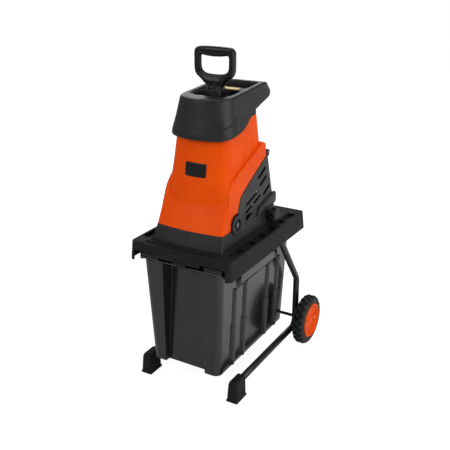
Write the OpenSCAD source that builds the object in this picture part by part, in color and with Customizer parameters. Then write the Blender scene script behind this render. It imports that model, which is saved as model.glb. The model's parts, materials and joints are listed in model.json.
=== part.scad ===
// Garden shredder: knife-disc head over a collecting bin, on a wheeled tube stand.
// Millimetres, +Z up, +X to the right, -Y to the front, ground at Z = 0.
// Inside the modules Y is counted from the front top edge of the deck; in_frame() then centres the whole.

/* [Deck] */
// Width of the deck's top
deck_w = 318; // [300:1:390]
// Depth of the deck's top, front to back
deck_d = 461; // [440:1:520]
// Height of the deck's top above the ground
deck_z = 447; // [430:1:540]
// Height of the deck's side skirt
deck_h = 55; // [50:1:64]
// How far the skirt flares out at its lower edge
deck_flare = 5; // [2:0.5:6]
// Wall of the skirt
skirt_t = 3.5; // [2.5:0.5:4]
// Thickness of the deck's plate
plate_t = 5; // [3:0.5:8]
// Height of the band left above the two front hand openings
band_h = 25; // [18:1:30]
// Height of the front apron between the hand openings
apron_h = 34; // [28:1:40]
// Half-width of that apron
apron_x = 67; // [50:1:80]
// Width of each front corner post
post_w = 13; // [8:1:20]
// Pockets in each side channel of the deck's top
pocket_n = 6; // [3:1:9]
// Depth of those pockets
pocket_deep = 10; // [5:1:14]
// Length of the two slots in the deck's front edge
slot_l = 66; // [40:1:80]
// Width of those slots
slot_w = 9; // [5:0.5:10]

/* [Stand] */
// Outside diameter of the frame tube
tube_d = 20; // [16:1:21]
// Wall of the frame tube
tube_t = 1.6; // [1:0.1:2.5]
// Distance of each tube from the middle plane
tube_x = 149; // [148:0.5:152]
// Height of the tube's lower run
tube_low_z = 48; // [40:1:60]
// Height of the bend above the wheel
tube_knee_z = 218; // [180:1:260]
// Centre-line radius of the tube's upper bends
bend_r = 40; // [30:1:60]
// Centre-line radius of the tube's bend under the axle
low_bend_r = 24; // [20:1:25]
// Diameter of the wheel axle
axle_d = 10; // [8:0.5:12]
// Axle, counted back from the deck's front edge
axle_y = 450; // [450:1:500]
// Length of each foot
foot_l = 60; // [50:1:80]
// Width of each foot
foot_w = 37; // [30:1:46]
// Height of each foot
foot_h = 64; // [60:1:80]
// Foot's front face, counted back from the deck's front edge
foot_y = 28; // [10:1:50]

/* [Wheels] */
// Diameter over the tread
wheel_d = 160; // [140:1:200]
// Width of the tyre
wheel_w = 38; // [30:1:50]
// Diameter of the coloured hub cap
hub_cap_d = 112; // [90:1:116]
// Tread lugs in one row
lug_n = 22; // [12:1:30]
// Depth of the tread
lug_h = 5; // [2:0.5:8]

/* [Collecting bin] */
// Height of the bin's floor above the ground
bin_z = 76; // [66:1:100]
// Half-width of the bin at its floor
bin_low_x = 112; // [100:1:118]
// Half-width of the bin at its rim
bin_top_x = 127; // [118:0.5:127.5]
// Wall of the bin
bin_t = 3; // [2:0.5:4]
// Setback of the front panel between the corner columns, at the rim
bin_step_top = 42; // [20:1:60]
// Setback of the front panel at the floor
bin_step_low = 16; // [8:1:30]
// Height of the ribbed hand grips on the rim
grip_h = 18; // [10:1:20]
// Height of the wide lower part of the bin's side ribs
rib_step = 128; // [90:1:160]

/* [Base housing] */
// Half-width of the base housing on the deck
base_x = 113; // [106:1:118]
// Height of the base housing's front
base_h = 44; // [40:1:60]
// Wall of the moulded housings
shell_t = 3; // [2:0.5:4]
// Radius of the front side lugs
lug_r = 28; // [22:1:32]
// Diameter of the locking knob
knob_d = 46; // [36:1:56]
// Lobes on the locking knob
knob_lobes = 6; // [4:1:9]

/* [Upper housing] */
// Half-width of the hood at its lower edge
hood_x = 106; // [100:1:110]
// Height of the tower's top above the deck
tower_h = 351; // [340:1:380]
// Half-width of the tower at its top
tower_top_x = 70; // [68:1:74]
// Height of the hood's hinge above the deck
hinge_h = 208; // [200:1:215]
// Diameter of the hinge pins
hinge_pin_d = 6; // [4:0.5:8]

/* [Feed hopper and plunger] */
// Width of the feed opening
feed_w = 120; // [100:1:126]
// Depth of the feed opening, front to back
feed_d = 100; // [86:1:110]
// Front edge of the feed opening, counted back from the deck's front edge
feed_y = 162; // [158:1:170]
// Width of the hand hole in the rear handle
hand_hole_w = 120; // [100:1:124]
// Width of the plunger's grip
grip_w = 132; // [110:1:150]
// Height of the plunger above the feed opening
plunger_h = 137; // [120:1:170]
// Width of the plunger's stem
stem_w = 58; // [40:1:70]

/* [Drive] */
// Diameter of the blade disc
disc_d = 184; // [150:1:190]
// Blade disc's axis, counted back from the deck's front edge
disc_y = 165; // [160:1:170]
// Motor's axis, counted back from the deck's front edge
motor_y = 290; // [284:1:296]
// Diameter of the motor's can
motor_d = 92; // [80:1:96]
// Length of the motor's can
motor_l = 96; // [80:1:100]
// Diameter of the large belt pulley
big_pulley_d = 92; // [70:1:100]
// Diameter of the motor's belt pulley
small_pulley_d = 26; // [22:1:32]
// Diameter of the blade shaft
blade_shaft_d = 15; // [12:0.5:17]
// Diameter of the motor shaft
motor_shaft_d = 12; // [8:0.5:14]

/* [Fits] */
// Running clearance of a shaft in its bore, on the radius
run_gap = 0.05; // [0.02:0.01:0.1]
// Clearance between seated parts
seat_gap = 0.2; // [0.1:0.05:0.4]
// Clearance between moving parts that slide on each other
slide_gap = 0.4; // [0.3:0.05:0.8]
// Gap along the parting line of the upper housing
part_gap = 1.5; // [1:0.1:3]

/* [Hidden] */
$fn = 64;
black = [0.07, 0.07, 0.075];
satin = [0.13, 0.13, 0.135];
orange = [0.90, 0.27, 0.04];
steel = [0.66, 0.67, 0.69];
copper = [0.72, 0.42, 0.22];
y_mid = (axle_y + wheel_d / 2 - deck_flare) / 2;
skirt_z = deck_z - deck_h;
plate_z = deck_z - plate_t;
sides = [-1, 1];
rib_t = 3;
curb_gap = 2;
curb_t = 3;
channel_in = base_x + 13;
channel_out = deck_w / 2 - 9;
channel_y = [42, deck_d - 40];
slot_x = 84;
slot_y = 16;
slot_turn = 4;
slot_rim = 3;
slot_deep = 3;
window_x = 20.5;
guide_x = 32;
far = 140;

// Stand
tube_r = tube_d / 2;
tube_top_z = skirt_z + 3 + tube_r;
knee_slope = 0.726;
knee_top_y = axle_y - (tube_top_z - tube_knee_z) * knee_slope;
tube_front_y = 46;
tube_sides = 20;
axle_z = wheel_d / 2;
spacer_x = tube_x + tube_r;
wheel_in_x = spacer_x + 12;
wheel_out_x = wheel_in_x + wheel_w;
cap_face_x = wheel_out_x + 2;
rim_r = hub_cap_d / 2 + 4;
axle_end_x = wheel_out_x - 8;
saddle_y = [70, 170, 270];
saddle_w = 18;
saddle_l = 24;
screw_r = 3;
screw_head_r = 5.5;
screw_head_h = 3;

// Bin
rail_x = tube_x - tube_r - 4;
rail_t = 2.5;
rail_lip = 6;
rail_lip_t = 4;
rim_z = skirt_z + rail_lip_t + slide_gap;
rim_t = 4;
rim_x = rail_x - slide_gap;
bin_front = 9;
bin_low_front = 20;
bin_back = axle_y - axle_d / 2 - 11;
rib_y = [92, 153, 293, 359];
lift_z = rim_z - 76;
lift_mid_y = 221;
rim_hole_y = bin_front + bin_step_top + 4;
rib_low_r = 9;
rib_top_r = 7;
latch_w = 40;
latch_out = 1.2;
latch_bar_t = 3;

// Base and covers
base_front = 29;
base_back = 398;
base_top_z = deck_z + base_h;
lug_y = 127;
lug_z = base_top_z + 11;
knob_y = 320;
knob_z = deck_z + 27;
knob_l = 24;
lobe_r = 6;
spindle_r = 4;
lug_bolt_r = 4;
lug_hole_r = 16.5;
seam_x = -6;
seam_w = 1.2;
seam_deep = 0.8;
ledge_r = 15;
ledge_y = [250, 364];
ledge_z = base_top_z + 25;
cover_front = 216;
cover_back_low = 376;
cover_back_top = 346;
hinge_y = 338;
hinge_z = deck_z + hinge_h;
hinge_r = 8;
cover_top_z = hinge_z - hinge_r - part_gap;
hinge_ear_x = [62, 72];
hinge_ear2_x = [84, 94];
tower_top_z = deck_z + tower_h;
hood_back = 324;

// Points of the parting line between hood and motor cover, from the lug up to the rear
part_line = [[138, 82], [143, 97], [157, 124], [195, 144], [271, 182], [318, 204]];

// Points of the hood's shoulder line, from the rear down to the front crease
shoulder_line = [
    [328, 234], [300, 247], [270, 232], [163, 195], [119, 172], [100, 150], [90, 124], [78, 112], [0, 111]];

// Cooling slots of the motor cover: centre back from the front edge, height over the deck, length
low_slots = [[222, 102, 72], [228, 84, 96], [222, 67, 84], [204, 55, 40]];
high_slots = [[285, 159, 50], [292, 135, 44], [311, 103, 46]];

// Hopper
floor_z = tower_top_z + 28;
floor_t = 3;
hopper_t = 4;
chute_t = 2.5;
groove_w = 1.8;
groove_deep = 1.2;
chute_back = feed_y + feed_d - 12;
out_front = 80;
out_back = 150;
out_x = 48;
chute_low_z = deck_z + 39;
chute_knee_z = deck_z + 273;
stem_d = 69;
stem_low_z = chute_knee_z + 10;
stem_t = 3;
loop_half_t = 11;
bar_r = 12;
drop_r = 7;
drop_tip_r = 2.5;
feed_top_z = floor_z + 12;
grip_top_z = feed_top_z + plunger_h - 12;

// Side view of the groove round the hopper's front panel: back from the front edge, height over the deck
groove_line = [[60, 320], [107, 326], [150, 336], [170, 354], [181, 392], [184, 412]];

// Drive, from the deck upwards
plate2_t = 6;
drive_z = deck_z + plate2_t;
belt_z = drive_z + 2;
belt_h = 12;
belt_t = 3;
pulley_lip = 1.2;
disc_z = belt_z + belt_h + 3;
disc_t = 7;
knife_t = 5;
bracket_z = disc_z + disc_t + 5;
bracket_t = 6;
can_z = bracket_z + bracket_t;
can_t = 2.5;
bell_h = 10;
can_top_z = can_z + motor_l;
bearing_od = 32;
bearing_w = 9;
boss_low_z = deck_z - 23;
motor_bearing_od = 28;
motor_bearing_w = 8;
bolt_head_r = 5;
plate_bolt_head_h = 4;
can_bolt_r = 2.5;
can_ear_h = 5;
plate_bolts = [for (s = sides, y = [255, 336]) [s * 48, y]];
post_at = [for (s = sides, e = sides) [s * 44, motor_y + e * 28]];
disc_nut_r = 12;
bolt_head_h = 2.5;
knife_in = disc_nut_r + 12;
knife_out = disc_d / 2 - 6;
knife_edge_y = 16;
knife_bolt_x = [knife_in + 14, knife_out - 18];
stack_z = can_z + 34;
stack_l = 42;
rotor_gap = 0.8;
commutator_d = 26;
brush_w = 12;
armature_d = motor_d - 40.5;

// Switch box
box_x = 50;
box_y = [350, 393, 416];
box_top_z = deck_z + 221;
box_mid_z = deck_z + 189;
box_low_z = deck_z + 150;
button_r = 9;
button_travel = 3;
face_tilt = atan2(box_y[2] - box_y[1], box_top_z - box_mid_z);

// Shared shapes

module in_frame() {
    translate([0, -y_mid, 0]) children();
}

// A cylinder along X that starts at x0
module rod_x(x0, len, r, y, z) {
    translate([x0, y, z]) rotate([0, 90, 0]) cylinder(r = r, h = len);
}

// A YZ outline pulled along X, centred on the middle plane
module slab_x(half) {
    rotate([90, 0, 90]) translate([0, 0, -half]) linear_extrude(2 * half) children();
}

// An XZ outline pulled along Y from y0
module slab_y(y0, len) {
    translate([0, y0 + len, 0]) rotate([90, 0, 0]) linear_extrude(len) children();
}

function bend(cx, cy, r, a0, a1, n) =
    [for (i = [1:n]) let (a = a0 + (a1 - a0) * i / n) [cx + r * cos(a), cy + r * sin(a)]];

// Right half of a plan outline: crowned or straight front edge, front corner, side, rear corner
function half_plan(hx, front, back, crown, rf, rr) = concat(
    crown > 0 ? [for (i = [0:2]) let (t = i / 3) [t * (hx - rf), front + crown * t * t]] : [],
    [[hx - rf, front + crown]],
    bend(hx - rf, front + crown + rf, rf, -90, 0, 5),
    [[hx, back - rr]],
    bend(hx - rr, back - rr, rr, 0, 90, 5));

// Whole plan outline at one height: [z, half-width, front, back, crown, front radius, rear radius]
function plan(s, inset) = let (
        half = half_plan(s[1] - inset, s[2] + inset, s[3] - inset, s[4],
            max(s[5] - inset, 0.6), max(s[6] - inset, 0.6)),
        n = len(half),
        first = s[4] > 0 ? 1 : 0)
    concat([for (p = half) [p[0], p[1], s[0]]],
        [for (i = [n - 1:-1:first]) [-half[i][0], half[i][1], s[0]]]);

// A closed skin over rings of points that all have the same count
module skin(rings) {
    n = len(rings[0]);
    m = len(rings);
    polyhedron(
        points = [for (ring = rings) each ring],
        faces = concat(
            [[for (i = [0:n - 1]) i]],
            [[for (i = [n - 1:-1:0]) i + n * (m - 1)]],
            [for (k = [0:m - 2], i = [0:n - 1]) let (a = i + n * k, b = (i + 1) % n + n * k)
                each [[a, a + n, b + n], [a, b + n, b]]]),
        convexity = 4);
}

// The same plan outline at another height
function moved(s, z) = [z, each [for (i = [1:6]) s[i]]];

// A skin over a list of plan outlines, lowest first
module loft(stations, inset = 0) {
    skin([for (s = stations) plan(s, inset)]);
}

// Four corners of a level rectangle: [z, half-width, front, back]
function corners(s, grow) = [
    [-s[1] - grow, s[2] - grow, s[0]], [s[1] + grow, s[2] - grow, s[0]],
    [s[1] + grow, s[3] + grow, s[0]], [-s[1] - grow, s[3] + grow, s[0]]];

// A straight slot with round ends, lying along X
module oblong(len, w, h) {
    translate([-len / 2 + w / 2, -w / 2, 0]) cube([len - w, w, h]);
    for (s = sides) translate([s * (len / 2 - w / 2), 0, 0]) cylinder(d = w, h = h);
}

// Outlines of the moulded housings

deck_plan = [
    [skirt_z, deck_w / 2 + deck_flare, -deck_flare, deck_d + deck_flare, 0, 17, 12],
    [deck_z, deck_w / 2, 0, deck_d, 0, 12, 9]];
base_plan = [
    [deck_z, base_x, base_front, base_back, 10, 7, 48],
    [base_top_z, hood_x, base_front + 16, base_back - 6, 9, 7, 46]];
cover_plan = [
    [base_top_z, hood_x, 100, base_back - 6, 0, 4, 46],
    [base_top_z + 39, hood_x - 1, 100, cover_back_low, 0, 4, 40],
    [hinge_z, hood_x - 8, 100, cover_back_top, 0, 4, 30]];
hood_plan = [
    [base_top_z, hood_x, base_front + 16, hood_back, 9, 8, 6],
    [base_top_z + 67, hood_x - 3, base_front + 45, hood_back, 9, 9, 6],
    [base_top_z + 109, hood_x - 6, base_front + 55, hood_back, 10, 14, 8],
    [base_top_z + 215, hood_x - 11, base_front + 68, hood_back - 2, 12, 20, 14]];
tower_plan = [
    [deck_z + 98, tower_top_x + 25.6, base_front + 44, 301, 10, 20, 16],
    [deck_z + 203, tower_top_x + 14.5, base_front + 63, 289, 13, 24, 18],
    [tower_top_z, tower_top_x, base_front + 82, 272, 13, 26, 18]];
hopper_plan = [
    [deck_z + 280, tower_top_x + 24, base_front + 57, 374, 17, 34, 10],
    [deck_z + 288, tower_top_x + 27, base_front + 54, 374, 17, 36, 10],
    [deck_z + 300, tower_top_x + 26.5, base_front + 55, 374, 17, 36, 10],
    [deck_z + 340, tower_top_x + 19, base_front + 63, 374, 15, 35, 10],
    [deck_z + 391, tower_top_x + 10, base_front + 70, 374, 13, 34, 10],
    [deck_z + 416, tower_top_x + 8, base_front + 73, 374, 12, 34, 10]];
bin_plan = [
    [bin_z, bin_low_x, bin_low_front, bin_back - 8, 0, 20, 16],
    [bin_z + 10, bin_low_x + 1, bin_low_front - 1, bin_back - 7, 0, 22, 18],
    [rim_z, bin_top_x, bin_front, bin_back, 0, 20, 18]];

// Side view of the hood: lower edge along the parting line, upper edge along the shoulder
module hood_side(inset) {
    polygon(concat(
        [[0, base_top_z - inset * 4], [lug_y - 18, base_top_z - inset * 4]],
        [for (p = part_line) [p[0], deck_z + p[1] - inset * 4]],
        [[shoulder_line[0][0], hinge_z - 3 - inset * 4]],
        [for (p = shoulder_line) [p[0], deck_z + p[1] - inset]]));
}

// Side view of the motor cover, under the parting line
module cover_side(inset) {
    low = base_top_z - (inset > 0 ? 1 : 0);
    polygon(concat(
        [[100, low], [100, deck_z + part_line[0][1] - part_gap - inset]],
        [for (p = part_line) [p[0] + part_gap * 0.5, deck_z + p[1] - part_gap - inset]],
        [[hinge_y - hinge_r - 4, cover_top_z - inset], [420, cover_top_z - inset], [420, low]]));
}

// Side view of the hopper: front lip, rising lower edge, overhanging rear handle
module hopper_side() {
    polygon(concat(
        [[60, deck_z + 280], [126, deck_z + 281], [172, deck_z + 301]],
        bend(240, deck_z + 274, 65, 138, 92, 5),
        [[260, deck_z + 340], [263, deck_z + 353], [352, deck_z + 373], [360, deck_z + 380],
         [361, deck_z + 391], [342, deck_z + 409], [332, deck_z + 410], [200, deck_z + 398],
         [150, deck_z + 394], [60, deck_z + 390]]));
}

// Inside of the hopper's side view, open below
module hopper_side_inner() {
    polygon([
        [50, deck_z + 250], [252, deck_z + 250], [255, deck_z + 340], [258, deck_z + 356],
        [350, deck_z + 377], [356, deck_z + 384], [340, deck_z + 404], [331, deck_z + 406],
        [200, deck_z + 394], [150, deck_z + 390], [50, deck_z + 386]]);
}

module deck() {
    pitch = (channel_y[1] - channel_y[0]) / pocket_n;
    channel_w = channel_out - channel_in;
    color(satin) in_frame() difference() {
        union() {
            difference() {
                loft(deck_plan);
                loft([
                    [skirt_z - 1, deck_w / 2 + deck_flare, -deck_flare, deck_d + deck_flare, 0, 17, 12],
                    [plate_z, deck_w / 2 + deck_flare * plate_t / deck_h, -deck_flare * plate_t / deck_h,
                     deck_d + deck_flare * plate_t / deck_h, 0, 12, 9]], skirt_t);
            }
            for (s = sides) {
                translate([(s > 0 ? channel_in : -channel_out) - rib_t, channel_y[0] - rib_t,
                        deck_z - pocket_deep - rib_t])
                    cube([channel_w + 2 * rib_t, channel_y[1] - channel_y[0] + 2 * rib_t, pocket_deep]);
                // Runner that the bin's rim slides on
                translate([s > 0 ? rail_x : -rail_x - rail_t, 12, skirt_z])
                    cube([rail_t, bin_back - 2, plate_z - skirt_z + 1]);
                translate([s > 0 ? rail_x - rail_lip : -rail_x - rail_t, 12, skirt_z])
                    cube([rail_lip + rail_t, bin_back - 2, rail_lip_t]);
                // Saddles on the frame tube
                for (y = saddle_y)
                    translate([s * tube_x - saddle_w / 2, y - saddle_l / 2, tube_top_z + tube_r + seat_gap])
                        cube([saddle_w, saddle_l, plate_z - tube_top_z - tube_r]);
                // Raised rim of the slot in the front edge
                translate([s * slot_x, slot_y, deck_z - 1]) rotate([0, 0, s * slot_turn])
                    oblong(slot_l + 2 * slot_rim, slot_w + 2 * slot_rim, 2.5);
            }
            for (y = [290, 345, 400])
                translate([-rail_x, y, plate_z - 12]) cube([2 * rail_x, rib_t, 13]);
            // Low curb round the base housing
            difference() {
                translate([0, 0, deck_z - 1]) linear_extrude(4)
                    polygon([for (p = plan(base_plan[0], -curb_gap - curb_t)) [p[0], p[1]]]);
                translate([0, 0, deck_z - 2]) linear_extrude(8)
                    polygon([for (p = plan(base_plan[0], -curb_gap)) [p[0], p[1]]]);
            }
            // Guide behind the bin latch
            translate([-guide_x, skirt_t + 5.2, deck_z - apron_h + 2])
                cube([2 * guide_x, rib_t, apron_h - plate_t]);
        }
        for (s = sides, i = [0:pocket_n - 1])
            translate([s > 0 ? channel_in : -channel_out, channel_y[0] + i * pitch + rib_t,
                    deck_z - pocket_deep])
                cube([channel_w, pitch - 2 * rib_t, pocket_deep + 5]);
        for (s = sides) translate([s * slot_x, slot_y, deck_z - slot_deep]) rotate([0, 0, s * slot_turn])
            oblong(slot_l, slot_w, slot_deep + 4);
        // Chip outlet under the front half of the blade disc, and the hole round the bearing boss
        intersection() {
            translate([0, disc_y, plate_z - 1]) cylinder(d = disc_d + 8, h = plate_t + 6);
            translate([-disc_d, disc_y - disc_d, plate_z - 1]) cube([2 * disc_d, disc_d + 8, plate_t + 6]);
        }
        translate([0, disc_y, plate_z - 14]) cylinder(d = bearing_od + 18, h = plate_t + 20);
        // Front hand openings and the gap under the apron
        for (s = sides)
            translate([s > 0 ? apron_x : -deck_w / 2 + post_w, -20, skirt_z - 1])
                cube([deck_w / 2 - post_w - apron_x, 31, deck_h - band_h + 1]);
        translate([-apron_x - 1, -20, skirt_z - 1]) cube([2 * apron_x + 2, 31, deck_h - apron_h + 1]);
        // Window of the bin latch, arched on top
        translate([-window_x, -20, deck_z - apron_h - 1])
            cube([2 * window_x, 20 + skirt_t + 1.5, apron_h - 8]);
        for (s = sides, y = saddle_y)
            translate([s * tube_x, y, tube_top_z]) cylinder(r = screw_r + run_gap, h = tube_r + 14);
        for (p = plate_bolts) translate([p[0], p[1], plate_z - 14]) cylinder(r = screw_r + run_gap, h = 30);
    }
}

module base_housing() {
    color(satin) in_frame() difference() {
        union() {
            difference() {
                loft(base_plan);
                loft([[deck_z - 1, base_x, base_front, base_back, 10, 7, 48],
                    [base_top_z + 1, hood_x, base_front + 16, base_back - 6, 9, 7, 46]], shell_t);
            }
            for (s = sides) {
                // Front lug, a round boss beside the hood's corner
                rod_x(s > 0 ? hood_x - 6 : -hood_x - 6, 12, lug_r, lug_y, lug_z);
                // Rounded shoulder over the knob
                translate([s * (hood_x - ledge_r + 7), ledge_y[0], ledge_z]) rotate([-90, 0, 0])
                    cylinder(r = ledge_r, h = ledge_y[1] - ledge_y[0]);
                translate([s > 0 ? hood_x - 8 : -hood_x - 7, ledge_y[0], base_top_z - 12])
                    cube([15, ledge_y[1] - ledge_y[0], ledge_z - base_top_z + 12]);
            }
            rod_x(base_x - 12, 11.5, 13, knob_y, knob_z);
        }
        for (s = sides) {
            rod_x(s > 0 ? hood_x + 1 : -hood_x - 7, 6, lug_hole_r, lug_y, lug_z);
            rod_x(s > 0 ? hood_x - 7 : -hood_x - 7, 14, lug_bolt_r + run_gap, lug_y, lug_z);
            // Slanted front end of the shoulder
            translate([s * hood_x - 25, ledge_y[0], base_top_z - 13]) rotate([-28, 0, 0])
                translate([0, -30, 0]) cube([50, 30, 80]);
            // The motor cover's side panel stands inside the shoulder
            translate([s > 0 ? hood_x - 30 : -hood_x - seat_gap, ledge_y[0] - 30, base_top_z])
                cube([30 + seat_gap, 200, 60]);
        }
        rod_x(base_x - 20, 40, spindle_r + run_gap, knob_y, knob_z);
        // Upright seam in the front
        intersection() {
            difference() {
                loft(base_plan, -1);
                loft(base_plan, seam_deep);
            }
            translate([seam_x, 0, deck_z + 5]) cube([seam_w, 120, base_h - 7]);
        }
    }
}

module motor_cover() {
    color(satin) in_frame() difference() {
        union() {
            intersection() {
                difference() {
                    intersection() {
                        loft(cover_plan);
                        slab_x(far) cover_side(0);
                    }
                    intersection() {
                        loft([[base_top_z - 1, hood_x, 100, base_back - 6, 0, 4, 46],
                            each [for (i = [1:2]) cover_plan[i]]], shell_t);
                        slab_x(far) cover_side(shell_t);
                    }
                }
                union() {
                    // Side panels run forward to the lugs, the rest stops behind the chute
                    translate([-far, cover_front, deck_z]) cube([2 * far, 220, 300]);
                    for (s = sides) translate([s * (hood_x - 4) - 7, lug_y, deck_z])
                        cube([14, cover_front - lug_y + 14, 300]);
                }
            }
            intersection() {
                loft(cover_plan);
                slab_x(hood_x - 5) cover_side(0);
                translate([-far, cover_front, base_top_z]) cube([2 * far, shell_t, 200]);
            }
            for (s = sides, e = [hinge_ear_x, hinge_ear2_x]) {
                x0 = s > 0 ? e[0] : -e[1];
                rod_x(x0, e[1] - e[0], hinge_r, hinge_y, hinge_z);
                translate([x0, hinge_y - 5, cover_top_z - 2])
                    cube([e[1] - e[0], 10, hinge_z - cover_top_z + 2]);
            }
        }
        for (s = sides) {
            rod_x(s > 0 ? hood_x - 20 : -hood_x - 20, 40, lug_r + part_gap, lug_y, lug_z);
            // Slanted cooling slots, a lower set of four and an upper set of three
            for (g = low_slots) grille_slot(s, g[0], deck_z + g[1], g[2], 7, 16);
            for (g = high_slots) grille_slot(s, g[0], deck_z + g[1], g[2], 9, 25);
        }
        rod_x(-120, 240, hinge_pin_d / 2 + run_gap, hinge_y, hinge_z);
        // Slots in the rear wall for the warm air
        for (i = [-2:2]) translate([i * 18 - 4, 340, base_top_z + 18]) cube([8, 60, 46]);
    }
}

module grille_slot(s, y, z, len, w, slope) {
    translate([s * hood_x - 12, y, z]) rotate([slope, 0, 0])
        translate([0, -len / 2, -w / 2]) cube([24, len, w]);
}

// One bent tube: lower run, upright over the axle, slanted arm, upper run under the deck
module frame_tube(s) {
    color(black) in_frame() translate([s * tube_x, 0, 0]) difference() {
        tube_skin(tube_r, 0);
        tube_skin(tube_r - tube_t, 1);
        rod_x(-tube_d, 2 * tube_d, axle_d / 2 + run_gap, axle_y, axle_z);
        for (y = saddle_y)
            translate([0, y, tube_top_z - tube_d]) cylinder(r = screw_r + run_gap, h = 2 * tube_d);
    }
}

// Bend of the tube's centre line in the YZ plane: [y, z, angle from +Y towards +Z]
function tube_bend(c, radius, a0, a1, n) =
    [for (i = [0:n]) let (a = a0 + (a1 - a0) * i / n) [c[0] + radius * cos(a), c[1] + radius * sin(a), a]];

module tube_skin(r, past) {
    lean = atan(knee_slope);
    t_knee = bend_r * tan(lean / 2);
    t_top = bend_r * tan((90 - lean) / 2);
    route = concat(
        [[foot_y + 12 - past, tube_low_z, -90]],
        tube_bend([axle_y - low_bend_r, tube_low_z + low_bend_r], low_bend_r, -90, 0, 6),
        tube_bend([axle_y - bend_r, tube_knee_z - t_knee], bend_r, 0, lean, 3),
        tube_bend([knee_top_y - t_top, tube_top_z - bend_r], bend_r, lean, 90, 4),
        [[tube_front_y - past, tube_top_z, 90]]);
    skin([for (q = route) [for (i = [0:tube_sides - 1]) let (a = 360 / tube_sides * i)
        [-r * sin(a), q[0] + r * cos(a) * cos(q[2]), q[1] + r * cos(a) * sin(q[2])]]]);
}

module frame_tube_left() {
    frame_tube(-1);
}

module frame_tube_right() {
    frame_tube(1);
}

module frame_screws() {
    low_z = tube_top_z - tube_r - screw_head_h;
    color(steel) in_frame() for (s = sides, y = saddle_y) translate([s * tube_x, y, low_z]) {
        cylinder(r = screw_head_r, h = screw_head_h - seat_gap);
        cylinder(r = screw_r, h = tube_d + 14);
    }
}

module axle() {
    color(steel) in_frame() rod_x(-axle_end_x, 2 * axle_end_x, axle_d / 2, axle_y, axle_z);
}

module axle_spacers() {
    color(black) in_frame() for (s = sides) difference() {
        len = wheel_in_x - spacer_x - 2 * slide_gap;
        x0 = s > 0 ? spacer_x + slide_gap : -wheel_in_x + slide_gap;
        rod_x(x0, len, axle_d / 2 + 4, axle_y, axle_z);
        rod_x(x0 - 1, len + 2, axle_d / 2 + run_gap, axle_y, axle_z);
    }
}

module axle_nuts() {
    color(steel) in_frame() for (s = sides) difference() {
        x0 = s > 0 ? axle_end_x - 6 : -axle_end_x;
        rod_x(x0, 6, axle_d / 2 + 4, axle_y, axle_z);
        rod_x(x0 - 1, 8, axle_d / 2 + run_gap, axle_y, axle_z);
    }
}

module foot(s) {
    color(black) in_frame() translate([s * tube_x, foot_y, 0]) difference() {
        union() {
            hull() {
                translate([-foot_w / 2 + 2, 2, 6]) cube([foot_w - 4, foot_l - 4, 1]);
                translate([-foot_w / 2 + 4, 5, foot_h - 8]) cube([foot_w - 8, foot_l - 5, 1]);
                translate([-foot_w / 2 + 7, 12, foot_h - 1]) cube([foot_w - 14, foot_l - 12, 1]);
            }
            hull() {
                translate([-foot_w / 2, 0, 0]) cube([foot_w, foot_l, 5]);
                translate([-foot_w / 2 + 2, 2, 0]) cube([foot_w - 4, foot_l - 4, 8]);
            }
        }
        translate([0, 12 - seat_gap, tube_low_z]) rotate([-90, 0, 0])
            cylinder(r = tube_r + run_gap, h = foot_l);
        translate([0, 9, foot_h - 9]) rotate([40, 0, 0]) cylinder(d = 7, h = 20);
    }
}

module foot_left() {
    foot(-1);
}

module foot_right() {
    foot(1);
}

// Turns a shape made along Z onto the axle, at one place along X
module wheel_place(x, side = 1) {
    translate([x, axle_y, axle_z]) rotate([0, side * 90, 0]) children();
}

// Outline with square lugs; turn shifts it by a share of the pitch
function tread(r_out, r_in, n, turn) = [for (i = [0:n - 1], k = [0:3]) let (
        a = 360 / n * (i + turn + [0, 0.12, 0.55, 0.67][k]),
        r = k == 1 || k == 2 ? r_out : r_in)
    [r * cos(a), r * sin(a)]];

module tyre(s) {
    r = wheel_d / 2;
    r_in = r - lug_h;
    half = wheel_w / 2;
    color(black) in_frame() wheel_place(s * (wheel_in_x + half)) difference() {
        union() {
            rotate_extrude() polygon([[0, -half], [r - 14, -half], [r_in - 1, 5 - half], [r_in, 10 - half],
                [r_in, half - 10], [r_in - 1, half - 5], [r - 14, half], [0, half]]);
            // Two rows of lugs, half a pitch apart, rounded over the shoulders
            intersection() {
                union() {
                    translate([0, 0, -half]) linear_extrude(half) polygon(tread(r, r_in - 1, lug_n, 0));
                    linear_extrude(half) polygon(tread(r, r_in - 1, lug_n, 0.5));
                }
                rotate_extrude() polygon([
                    [0, 2 - half], [r - 9, 2 - half], [r - 4, 4 - half], [r + 1, 11 - half],
                    [r + 1, half - 11], [r - 4, half - 4], [r - 9, half - 2], [0, half - 2]]);
            }
        }
        translate([0, 0, -half - 1]) cylinder(r = rim_r + seat_gap, h = wheel_w + 2);
    }
}

module tyre_left() {
    tyre(-1);
}

module tyre_right() {
    tyre(1);
}

// Plastic rim: barrel, hub and web with ribs, its outer side closed by the hub cap
module wheel_rim(s) {
    half = wheel_w / 2;
    color(black) in_frame() wheel_place(s * (wheel_in_x + half), s) {
        difference() {
            union() {
                difference() {
                    translate([0, 0, -half]) cylinder(r = rim_r, h = wheel_w - 2);
                    translate([0, 0, -half - 1]) cylinder(r = rim_r - 4, h = wheel_w + 2);
                }
                translate([0, 0, -half]) cylinder(r = axle_d / 2 + 8, h = wheel_w - 16);
                translate([0, 0, -3]) cylinder(r = rim_r - 2, h = 4);
                for (i = [0:5]) rotate([0, 0, 60 * i]) translate([axle_d / 2 + 5, -1.5, -half + 3])
                    cube([rim_r - axle_d / 2 - 7, 3, half]);
            }
            translate([0, 0, -half - 1]) cylinder(r = axle_d / 2 + run_gap, h = wheel_w + 2);
        }
    }
}

module wheel_rim_left() {
    wheel_rim(-1);
}

module wheel_rim_right() {
    wheel_rim(1);
}

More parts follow.
